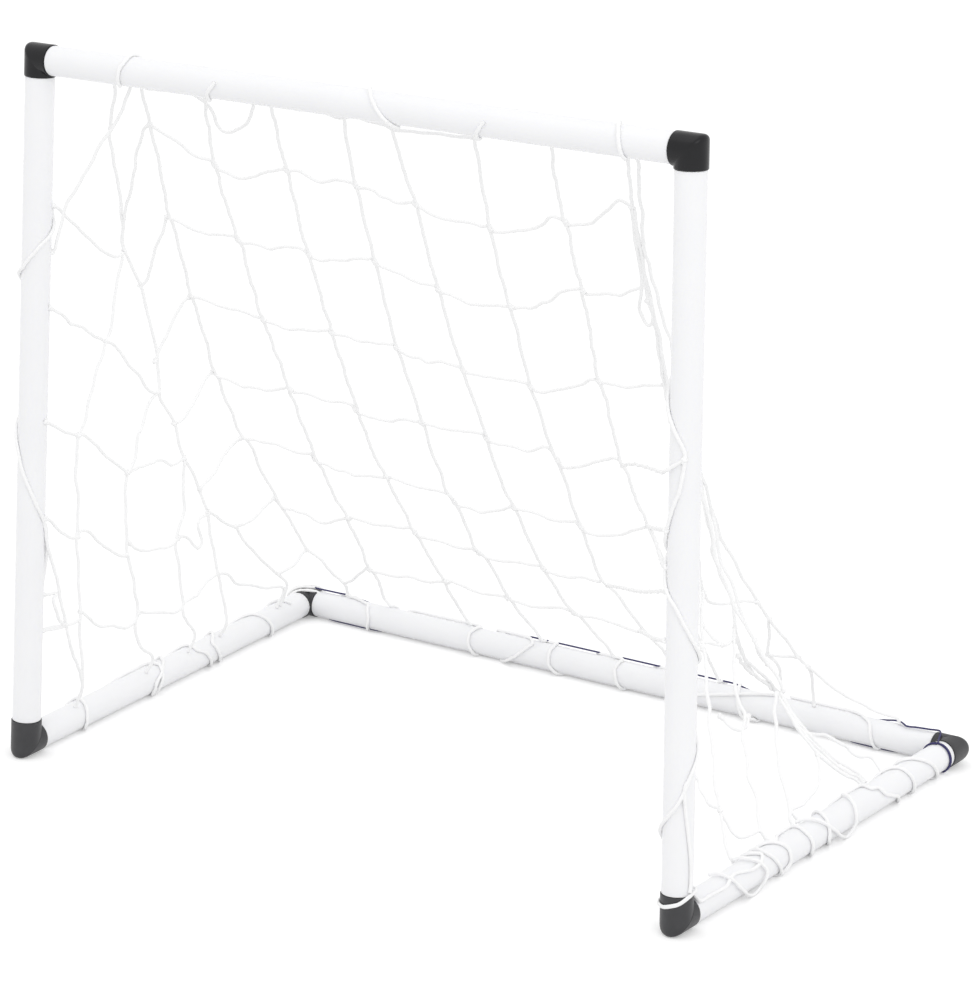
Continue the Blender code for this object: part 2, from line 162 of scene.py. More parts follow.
def grid_faces(rows, sides, run, closed=False):
    """Quads between rows of points, each row a closed ring, and their corners' UVs: (turn, distance along)."""
    count = rows if closed else rows - 1
    i, j = (k.ravel()[:, None] for k in np.meshgrid(np.arange(count), np.arange(sides), indexing="ij"))
    step_i, step_j = np.array([0, 0, 1, 1]), np.array([0, 1, 1, 0])
    quads = (i + step_i) % rows * sides + (j + step_j) % sides
    uvs = np.stack([(j + step_j) / sides, run[(i + step_i) % rows]], axis=-1)
    return quads.tolist(), uvs.reshape(-1, 2)


def end_faces(rows, sides):
    """The faces that close the first ring and the last one."""
    last = (rows - 1) * sides
    return [list(range(sides - 1, -1, -1)), list(range(last, last + sides))]


def strand_surface(line, radius, sides, groove, lay, swell=0.0, seed=0):
    """Points, faces and UVs of a twisted cord along a line, with both ends closed.

    P(s, a) = line(s) + r (n cos a + b sin a), with r = radius w(s) (1 - groove + groove cos(3 (a - 2 pi s / lay))):
    three strands wind once round in one lay, and w = 1 + swell (three sines of s with seeded phases).
    """
    n, b, back = frames(line)
    run = distances(line)
    a = np.arange(sides) * 2 * math.pi / sides
    phases = np.random.default_rng(seed).uniform(0, 2 * math.pi, 3)
    width = 1 + swell * sum(np.sin(2 * math.pi * run / w + f) for w, f in zip(SWELL_WAVES, phases))
    twist = np.cos(STRANDS * (a - 2 * math.pi * run[:, None] / lay))
    r = (radius * width[:, None] * (1 - groove + groove * twist))[..., None]
    turn = (a + back[:, None])[..., None]
    verts = line[:, None] + r * (np.cos(turn) * n[:, None] + np.sin(turn) * b[:, None])
    faces, uvs = grid_faces(len(line), sides, run)
    faces += end_faces(len(line), sides)
    caps = np.stack([np.tile(a / (2 * math.pi), 2), np.repeat(run[[0, -1]], sides)], axis=1)
    return verts.reshape(-1, 3), faces, np.concatenate([uvs, caps])


def joined(parts):
    """Several surfaces as one: their points in a row, and each one's faces moved on by the points before it."""
    verts, faces, uvs, start = [], [], [], 0
    for v, f, u in parts:
        verts.append(v)
        uvs.append(u)
        faces += [[index + start for index in face] for face in f]
        start += len(v)
    return np.concatenate(verts), faces, np.concatenate(uvs)


def twine_piece(name, lines, nodes, radius=TWINE_R):
    """One piece of twisted twine from several lines, standing for CAD nodes."""
    parts = [
        strand_surface(
            smooth_line(line, TWINE_STEP), radius, TWINE_SIDES, TWINE_GROOVE, TWINE_LAY, TWINE_SWELL, seed
        )
        for seed, line in enumerate(lines)
    ]
    item = mesh_object(name, *joined(parts))
    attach(item, "root")
    if nodes:
        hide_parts(*nodes)
    item.data.materials.append(MATERIALS["twine"])


# ---------------------------------------------------------------- materials
def shader_of(name):
    """A new material, its node tree and the shader in it."""
    material = bpy.data.materials.new(name)
    material.use_nodes = True
    tree = material.node_tree
    return material, tree, tree.nodes["Principled BSDF"]


def mixed_colour(tree, shader, factor, low, high):
    """The shader's colour goes from low to high with a factor."""
    mix = tree.nodes.new("ShaderNodeMix")
    mix.data_type = "RGBA"
    mix.inputs["A"].default_value = (*low, 1)
    mix.inputs["B"].default_value = (*high, 1)
    tree.links.new(factor, mix.inputs["Factor"])
    tree.links.new(mix.outputs["Result"], shader.inputs["Base Color"])


def noise_on(tree, vector, scale, detail=3.0, stretch=(1, 1, 1)):
    """Soft noise, 0 to 1, over a vector that is first stretched."""
    mapping = tree.nodes.new("ShaderNodeMapping")
    mapping.inputs["Scale"].default_value = stretch
    tree.links.new(vector, mapping.inputs["Vector"])
    noise = tree.nodes.new("ShaderNodeTexNoise")
    noise.inputs["Scale"].default_value = scale
    noise.inputs["Detail"].default_value = detail
    tree.links.new(mapping.outputs["Vector"], noise.inputs["Vector"])
    return noise.outputs["Fac"]


def math_node(tree, operation, *values):
    """What a maths node makes of one or two values."""
    node = tree.nodes.new("ShaderNodeMath")
    node.operation = operation
    for value, place in zip(values, node.inputs):
        tree.links.new(value, place)
    return node.outputs[0]


def bumped(tree, shader, height, strength, distance):
    """A relief on the shader's normal, of that height times the distance in metres."""
    bump = tree.nodes.new("ShaderNodeBump")
    bump.inputs["Strength"].default_value = strength
    bump.inputs["Distance"].default_value = distance
    tree.links.new(height, bump.inputs["Height"])
    tree.links.new(bump.outputs["Normal"], shader.inputs["Normal"])


def tube_plastic():
    """Extruded white plastic: faint lines along the tube and soft cloudy change in its white."""
    material, tree, shader = shader_of("extruded_white_plastic")
    place = tree.nodes.new("ShaderNodeTexCoord")
    clouds = noise_on(tree, place.outputs["Object"], 22.0)
    mixed_colour(tree, shader, clouds, (0.90, 0.902, 0.92), (0.935, 0.937, 0.95))
    lines = noise_on(tree, place.outputs["UV"], 1.0, 2.0, (260.0, 6.0, 1.0))
    bumped(tree, shader, lines, 0.12, 0.0004)
    shader.inputs["Roughness"].default_value = 0.34
    shader.inputs["IOR"].default_value = 1.49
    shader.inputs["Subsurface Weight"].default_value = 0.06
    shader.inputs["Subsurface Radius"].default_value = (0.004, 0.004, 0.005)
    return material


def elbow_plastic(name, low, high, roughness, gloss):
    """Moulded black plastic: a fine spark-eroded grain and paler rubbed patches."""
    material, tree, shader = shader_of(name)
    place = tree.nodes.new("ShaderNodeTexCoord")
    patches = noise_on(tree, place.outputs["Object"], 90.0)
    mixed_colour(tree, shader, patches, low, high)
    grain = noise_on(tree, place.outputs["Object"], 2400.0, 2.0)
    bumped(tree, shader, grain, 0.25, 0.0002)
    shader.inputs["Roughness"].default_value = roughness
    shader.inputs["Specular IOR Level"].default_value = gloss
    return material


def twine_fibre(name, low, high, lay, fuzz, relief):
    """Twisted fibre: grooves cos(2 pi strands (turn - distance / lay)), with fine filaments across them."""
    material, tree, shader = shader_of(name)
    place = tree.nodes.new("ShaderNodeTexCoord")
    phase = tree.nodes.new("ShaderNodeVectorMath")
    phase.operation = "DOT_PRODUCT"
    phase.inputs[1].default_value = (2 * math.pi * STRANDS, -2 * math.pi * STRANDS / lay, 0)
    tree.links.new(place.outputs["UV"], phase.inputs[0])
    wave = math_node(tree, "COSINE", phase.outputs["Value"])
    filaments = noise_on(tree, place.outputs["UV"], 1.0, 3.0, (9.0, 900.0, 1.0))
    mixed_colour(tree, shader, filaments, low, high)
    bumped(tree, shader, math_node(tree, "ADD", wave, filaments), relief, 0.0001)
    shader.inputs["Roughness"].default_value = 0.8
    shader.inputs["Sheen Weight"].default_value = fuzz
    return material


MATERIALS = {
    "tube": tube_plastic(),
    "top_elbow": elbow_plastic("top_elbow_black", (0.006, 0.006, 0.007), (0.014, 0.014, 0.016), 0.26, 0.28),
    # The foot elbows are the same black plastic as the top ones, but their greyer base colour is painted light, the
    # bright floor's light on them; they are also duller
    "foot_elbow": elbow_plastic("foot_elbow_black_painted_floor_light", (0.022, 0.022, 0.024), (0.042, 0.042, 0.046), 0.42, 0.5),
    "twine": twine_fibre("twisted_white_twine", (0.95, 0.95, 0.955), (0.99, 0.99, 0.99), TWINE_LAY, 0.05, 0.06),
    "cord": twine_fibre("twisted_navy_cord", (0.020, 0.018, 0.075), (0.050, 0.045, 0.17), CORD_LAY, 0.1, 0.4),
}


# ---------------------------------------------------------------- tubes and elbows
def tube(name, start, end, reach_start, reach_end):
    """A hollow tube: its wall's section, with rounded rims, turned about the axis.

    P(k, a) = start + along z(k) + r(k) (level cos a + rise sin a) over the section's closed list (r, z).
    """
    lip, lip_points, wall_points = 0.0004, 4, 40
    along = unit(end - start)
    rise = unit(UP - along * along[2]) if abs(along[2]) < 0.9 else unit(BACK - along * along[1])
    level = np.cross(rise, along)
    low = reach_start + SHOULDER_GAP
    high = np.linalg.norm(end - start) - reach_end - SHOULDER_GAP
    bore = TUBE_R - TUBE_WALL
    q = np.linspace(0, math.pi / 2, lip_points)
    outer = [(TUBE_R, z) for z in np.linspace(low + lip, high - lip, wall_points)]
    top_out = [(TUBE_R - lip + lip * math.cos(a), high - lip + lip * math.sin(a)) for a in q[1:]]
    top_in = [(bore + lip - lip * math.sin(a), high - lip + lip * math.cos(a)) for a in q]
    foot_in = [(bore + lip - lip * math.cos(a), low + lip - lip * math.sin(a)) for a in q]
    foot_out = [(TUBE_R - lip + lip * math.sin(a), low + lip - lip * math.cos(a)) for a in q[:-1]]
    section = np.array(outer + top_out + top_in + foot_in + foot_out)
    a = np.arange(ROUND_SIDES) * 2 * math.pi / ROUND_SIDES
    ring = level[None] * np.cos(a)[:, None] + rise[None] * np.sin(a)[:, None]
    verts = (start + along * section[:, 1, None])[:, None] + ring[None] * section[:, 0, None, None]
    quads, uvs = grid_faces(len(section), ROUND_SIDES, section[:, 1], closed=True)
    item = mesh_object(f"{name}_pipe", verts.reshape(-1, 3), quads, uvs)
    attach(item, "root")
    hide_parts(name)
    item.data.materials.append(MATERIALS["tube"])


def rounded_bend(start, bend, end, radius, steps=7):
    """Rows of points round an array of bends, each way from start to bend to end cut short by its radius.

    P(t) = (1 - t)^2 p + 2 t (1 - t) bend + t^2 q, where p and q lie a radius before and after the bend.
    """
    p = bend + unit(start - bend) * radius
    q = bend + unit(end - bend) * radius
    t = np.linspace(0, 1, steps)[:, None, None]
    return (1 - t) ** 2 * p + 2 * t * (1 - t) * bend + t**2 * q


def elbow(name, at, toward_a, toward_b, reach_a, reach_b, outer_round, ridge=0.0):
    """A two-way corner: each line of a circle's profile runs along one arm, turns at the mitre and runs on.

    P(k, a): at angle a the line lies at offset r (side cos a + across sin a) from arm A's axis, meets the
    mitre where both arms have it, and is rounded there by a radius that falls from outer_round to
    inner_round. What would lie under the floor is pressed flat on it.
    """
    radius, lip, inner_round, cap_share, ridge_width = ELBOW_R, 0.0005, 0.0005, 0.3, 0.35
    u, v = unit(toward_a - at), unit(toward_b - at)
    across = unit(np.cross(u, v))
    side_a, side_b = unit(v - u * (v @ u)), unit(u - v * (u @ v))
    a = np.arange(ROUND_SIDES) * 2 * math.pi / ROUND_SIDES
    ca, sa = np.cos(a)[:, None], np.sin(a)[:, None]
    # How far along either arm the line at angle a meets the mitre
    half = math.acos(float(np.clip(u @ v, -1, 1))) / 2
    meet = ca / math.tan(half)

    def ring_a(r, far):
        return r * (side_a * ca + across * sa) + u * far

    def ring_b(r, far):
        return r * (side_b * ca + across * sa) + v * far

    def spigot(reach):
        tip = reach + SPIGOT_LENGTH
        end = [(cap_share * SPIGOT_R, tip), (SPIGOT_R - SPIGOT_BEVEL, tip)]
        return [*end, (SPIGOT_R, tip - SPIGOT_BEVEL), (SPIGOT_R, reach)]

    def rim(reach):
        turns = np.linspace(0, math.pi / 2, 5)
        return [(radius - lip + lip * math.sin(q), reach - lip + lip * math.cos(q)) for q in turns]

    rows = [ring_a(r, far) for r, far in spigot(reach_a) + rim(reach_a)]
    bend = ring_a(radius, radius * meet)
    # 0 on the bend's inner side, and from there up to 1 on its outer side
    outward = np.clip((-ca - 0.15) / 0.85, 0, 1)
    rounding = inner_round + (outer_round - inner_round) * outward
    begin, finish = ring_a(radius, reach_a), ring_b(radius, reach_b)
    turn = rounded_bend(begin, bend, finish, rounding)
    if ridge:
        proud = np.exp(-((np.linspace(-1, 1, len(turn))) / ridge_width) ** 2)[:, None, None]
        turn = turn + unit(bend) * ridge * proud
    before = begin + (turn[0] - begin) * np.linspace(0.25, 0.9, 3)[:, None, None]
    after = turn[-1] + (finish - turn[-1]) * np.linspace(0.1, 0.75, 3)[:, None, None]
    rows += [*before, *turn, *after]
    rows += [ring_b(r, far) for r, far in reversed(spigot(reach_b) + rim(reach_b))]
    grid = np.array(rows) + at
    grid[..., 2] = np.maximum(grid[..., 2], 0.0)
    count = len(rows)
    faces = grid_faces(count, ROUND_SIDES, np.zeros(count))[0] + end_faces(count, ROUND_SIDES)
    item = mesh_object(f"{name}_moulding", grid.reshape(-1, 3), faces)
    bm = bmesh.new()
    bm.from_mesh(item.data)
    bmesh.ops.recalc_face_normals(bm, faces=bm.faces)
    bm.to_mesh(item.data)
    bm.free()
    item.data.set_sharp_from_angle(angle=math.radians(50))
    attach(item, "root")
    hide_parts(name)
    item.data.materials.append(MATERIALS["top_elbow" if "top" in name else "foot_elbow"])


# Each tube: its two corners, how far each one's elbow reaches along it, and the way that 90 degrees round it points
TUBES = {
    "crossbar": (corner("top", -1), corner("top", 1), TOP_REACH, TOP_REACH, UP),
    "left_post": (corner("front", -1), corner("top", -1), FOOT_REACH_UP, TOP_REACH, BACK),
    "right_post": (corner("front", 1), corner("top", 1), FOOT_REACH_UP, TOP_REACH, BACK),
    "left_side_tube": (corner("front", -1), corner("rear", -1), FOOT_REACH_LEVEL, FOOT_REACH_LEVEL, UP),
    "right_side_tube": (corner("front", 1), corner("rear", 1), FOOT_REACH_LEVEL, FOOT_REACH_LEVEL, UP),
    "rear_tube": (corner("rear", -1), corner("rear", 1), FOOT_REACH_LEVEL, FOOT_REACH_LEVEL, UP),
}
for tube_name, (begins, ends, near, far, _) in TUBES.items():
    tube(tube_name, begins, ends, near, far)

for word, side in (("left", -1), ("right", 1)):
    top, foot, rear = corner("top", side), corner("front", side), corner("rear", side)
    other_top, other_rear = corner("top", -side), corner("rear", -side)
    level = FOOT_REACH_LEVEL
    elbow(f"elbow_top_{word}", top, foot, other_top, TOP_REACH, TOP_REACH, outer_round=0.0045)
    elbow(f"elbow_front_{word}", foot, top, rear, FOOT_REACH_UP, level, outer_round=0.0050, ridge=0.0003)
    elbow(f"elbow_rear_{word}", rear, foot, other_rear, level, level, outer_round=0.0045, ridge=0.0002)


# ---------------------------------------------------------------- net
# The back's rows between their knots, from left to right, on the slope: (across, down) in mm
ROW_SPANS = [
    [
        [(-231, 54), (-226, 58), (-215, 66), (-208, 72), (-200, 83), (-191, 86), (-181, 88)],
        [(-181, 98), (-172, 100), (-163, 106), (-151, 102), (-136, 96), (-115, 87), (-105, 84)],
        [(-103, 86), (-90, 84), (-84, 88), (-74, 94), (-66, 92), (-54, 87), (-44, 88), (-39, 89)],
        [(-36, 94), (-22, 92), (-18, 100), (-9, 100), (-4, 105), (14, 101)],
        [(18, 105), (27, 111), (42, 116), (60, 115), (67, 116), (72, 119), (81, 115)],
        [(82, 122), (94, 120), (110, 116), (131, 107), (139, 101), (147, 91), (154, 93), (159, 95)],
        [(161, 99), (181, 95), (192, 86), (206, 73), (218, 61), (224, 60), (229, 66)],
    ],
    [
        [(-268, 172), (-256, 177), (-251, 183), (-238, 183), (-229, 186), (-217, 184), (-201, 183)],
        [(-197, 191), (-173, 188), (-169, 193), (-162, 191), (-151, 186), (-142, 185), (-131, 184), (-128, 188)],
        [(-125, 194), (-115, 196), (-103, 192), (-90, 191), (-76, 186), (-58, 182)],
        [(-56, 189), (-46, 192), (-36, 196), (-26, 202), (-16, 203), (-4, 204)],
        [(-1, 212), (12, 213), (23, 220), (35, 219), (63, 215)],
        [(71, 215), (92, 210), (100, 203), (110, 198), (121, 188), (135, 179), (146, 176)],
        [(149, 182), (165, 179), (176, 174), (183, 176), (194, 169), (207, 162)],
    ],
    [
        [(-292, 278), (-287, 279), (-277, 278), (-266, 284), (-254, 286), (-241, 286), (-230, 290), (-221, 291)],
        [(-217, 295), (-204, 296), (-195, 301), (-181, 298), (-163, 295), (-148, 291)],
        [(-144, 296), (-127, 295), (-120, 300), (-108, 296), (-96, 297), (-82, 295)],
        [(-78, 301), (-70, 308), (-59, 306), (-52, 313), (-40, 307), (-28, 307), (-19, 310)],
        [(-15, 316), (-4, 315), (3, 317), (19, 315), (32, 314), (46, 315)],
        [(51, 323), (62, 323), (79, 315), (100, 305), (110, 299), (118, 292), (123, 293)],
        [(126, 295), (135, 294), (148, 295), (165, 290), (188, 283)],
    ],
    [
        [(-317, 386), (-313, 391), (-301, 394), (-289, 400), (-273, 397), (-259, 397), (-244, 393), (-233, 387)],
        [(-229, 393), (-212, 391), (-201, 395), (-183, 395), (-170, 393), (-165, 396)],
        [(-164, 406), (-149, 407), (-130, 409), (-115, 402), (-97, 401)],
        [(-90, 402), (-79, 403), (-69, 403), (-53, 402), (-41, 401), (-29, 400)],
        [(-26, 410), (-15, 411), (0, 410), (9, 413), (23, 408), (37, 400), (40, 408)],
        [(43, 427), (58, 423), (73, 415), (88, 406), (105, 397), (109, 399)],
    ],
    [
        [(-328, 483), (-319, 481), (-311, 479), (-301, 482), (-288, 480), (-278, 483), (-266, 486), (-248, 484)],
        [(-246, 498), (-234, 496), (-228, 502), (-215, 500), (-211, 506), (-196, 502), (-172, 498)],
        [(-164, 495), (-151, 500), (-134, 502), (-121, 502), (-107, 501), (-102, 507)],
        [(-101, 521), (-85, 517), (-76, 522), (-64, 518), (-51, 511), (-37, 503)],
        [(-31, 504), (-16, 505), (0, 509), (13, 509), (30, 505)],
        [(36, 519), (46, 519), (71, 513), (86, 503), (108, 490)],
    ],
    [
        [(-327, 571), (-322, 585), (-312, 584), (-305, 587), (-295, 585), (-289, 594), (-274, 593), (-260, 585),
         (-249, 579)],
        [(-239, 575), (-230, 576), (-213, 578), (-194, 576), (-171, 571)],
        [(-168, 583), (-157, 583), (-141, 583), (-129, 587), (-108, 584)],
        [(-97, 594), (-81, 594), (-58, 590), (-36, 588)],
        [(-32, 594), (-22, 597), (-5, 596), (9, 592), (26, 593)],
    ],
    [
        [(-297, 693), (-284, 685), (-272, 672), (-256, 657)],
        [(-250, 659), (-237, 660), (-223, 660), (-210, 656), (-198, 656), (-185, 656), (-167, 651)],
        [(-154, 647), (-144, 650), (-135, 655), (-124, 656), (-110, 653), (-97, 653)],
        [(-93, 656), (-82, 657), (-70, 659), (-51, 655), (-36, 650), (-26, 652)],
        [(-19, 657), (-5, 654), (6, 654), (18, 656), (31, 661), (46, 661)],
    ],
]
# The back's columns from the crossbar down to the rear tube, the same way
COLUMN_LINES = [
    [(-218, 9), (-223, 27), (-229, 49), (-232, 61), (-238, 81), (-244, 104), (-255, 137), (-264, 166), (-265, 176),
     (-270, 197), (-275, 218), (-283, 248), (-289, 270), (-293, 290), (-298, 315), (-305, 348), (-314, 381),
     (-314, 395), (-318, 415), (-321, 444), (-325, 473), (-320, 487), (-322, 508), (-325, 538), (-324, 561),
     (-324, 588), (-323, 609), (-322, 627), (-322, 648), (-318, 653), (-310, 661), (-304, 681), (-297, 693),
     (-299, 708)],
    [(-153, 8), (-160, 28), (-172, 63), (-178, 82), (-183, 102), (-188, 127), (-194, 157), (-197, 180), (-198, 193),
     (-204, 217), (-209, 240), (-217, 278), (-220, 297), (-224, 335), (-231, 380), (-234, 400), (-240, 449),
     (-244, 481), (-245, 502), (-246, 531), (-247, 552), (-246, 576), (-247, 588), (-248, 612), (-251, 644),
     (-253, 660), (-249, 671), (-254, 704)],
    [(-86, 7), (-93, 35), (-103, 79), (-105, 93), (-116, 138), (-126, 183), (-127, 196), (-136, 240), (-144, 286),
     (-147, 302), (-154, 346), (-161, 392), (-163, 408), (-169, 451), (-170, 494), (-169, 505), (-170, 531),
     (-169, 551), (-170, 572), (-169, 585), (-167, 610), (-165, 633), (-165, 649), (-164, 667), (-162, 697)],
    [(-16, 10), (-26, 43), (-36, 83), (-39, 100), (-47, 136), (-55, 177), (-57, 189), (-67, 236), (-78, 290),
     (-80, 305), (-85, 348), (-91, 391), (-92, 403), (-99, 444), (-101, 478), (-105, 499), (-101, 521), (-102, 556),
     (-105, 580), (-97, 594), (-95, 619), (-94, 645), (-91, 663), (-89, 676), (-81, 697)],
    [(28, 15), (21, 57), (17, 96), (16, 108), (7, 152), (-1, 200), (-2, 212), (-11, 261), (-15, 295), (-17, 311),
     (-21, 349), (-23, 375), (-26, 399), (-29, 417), (-33, 454), (-35, 482), (-33, 502), (-34, 533), (-35, 559),
     (-34, 589), (-31, 611), (-26, 646), (-17, 658), (-11, 677), (-2, 696)],
    [(106, 12), (97, 50), (85, 102), (80, 126), (73, 165), (66, 207), (65, 222), (59, 258), (52, 297), (49, 319),
     (47, 340), (44, 372), (40, 400), (41, 426), (37, 466), (33, 500), (33, 526), (30, 549), (29, 590), (36, 600),
     (40, 613), (46, 635), (51, 659), (63, 681)],
    [(177, 8), (168, 44), (160, 87), (159, 104), (152, 142), (147, 176), (145, 190), (135, 241), (125, 285),
     (125, 300), (120, 337), (115, 367), (111, 397), (111, 421), (109, 451), (109, 487)],
]
# The border twine under the crossbar, the same way
BORDER_LINES = [
    [(-218, 9), (-209, 9), (-193, 8), (-179, 7), (-168, 8), (-160, 12), (-156, 16), (-153, 18), (-152, 27),
     (-156, 41), (-154, 49), (-143, 48), (-133, 43), (-124, 36), (-111, 20), (-102, 6)],
    [(-102, 6), (-87, 7), (-67, 7), (-53, 8), (-38, 8), (-27, 10), (-23, 12), (-16, 11), (-5, 6), (4, 9), (9, 12),
     (20, 12), (26, 14), (30, 17), (41, 15), (54, 15), (73, 14), (88, 13), (100, 12), (106, 14)],
]
# How a column hooks on to the crossbar and the rear tube: (mm along from its end, degrees round)
HOOK_ON_CROSSBAR = [(0, 40), (0, -20)]
HOOK_ON_REAR = [(5, 84), (7, 50), (8, 0)]
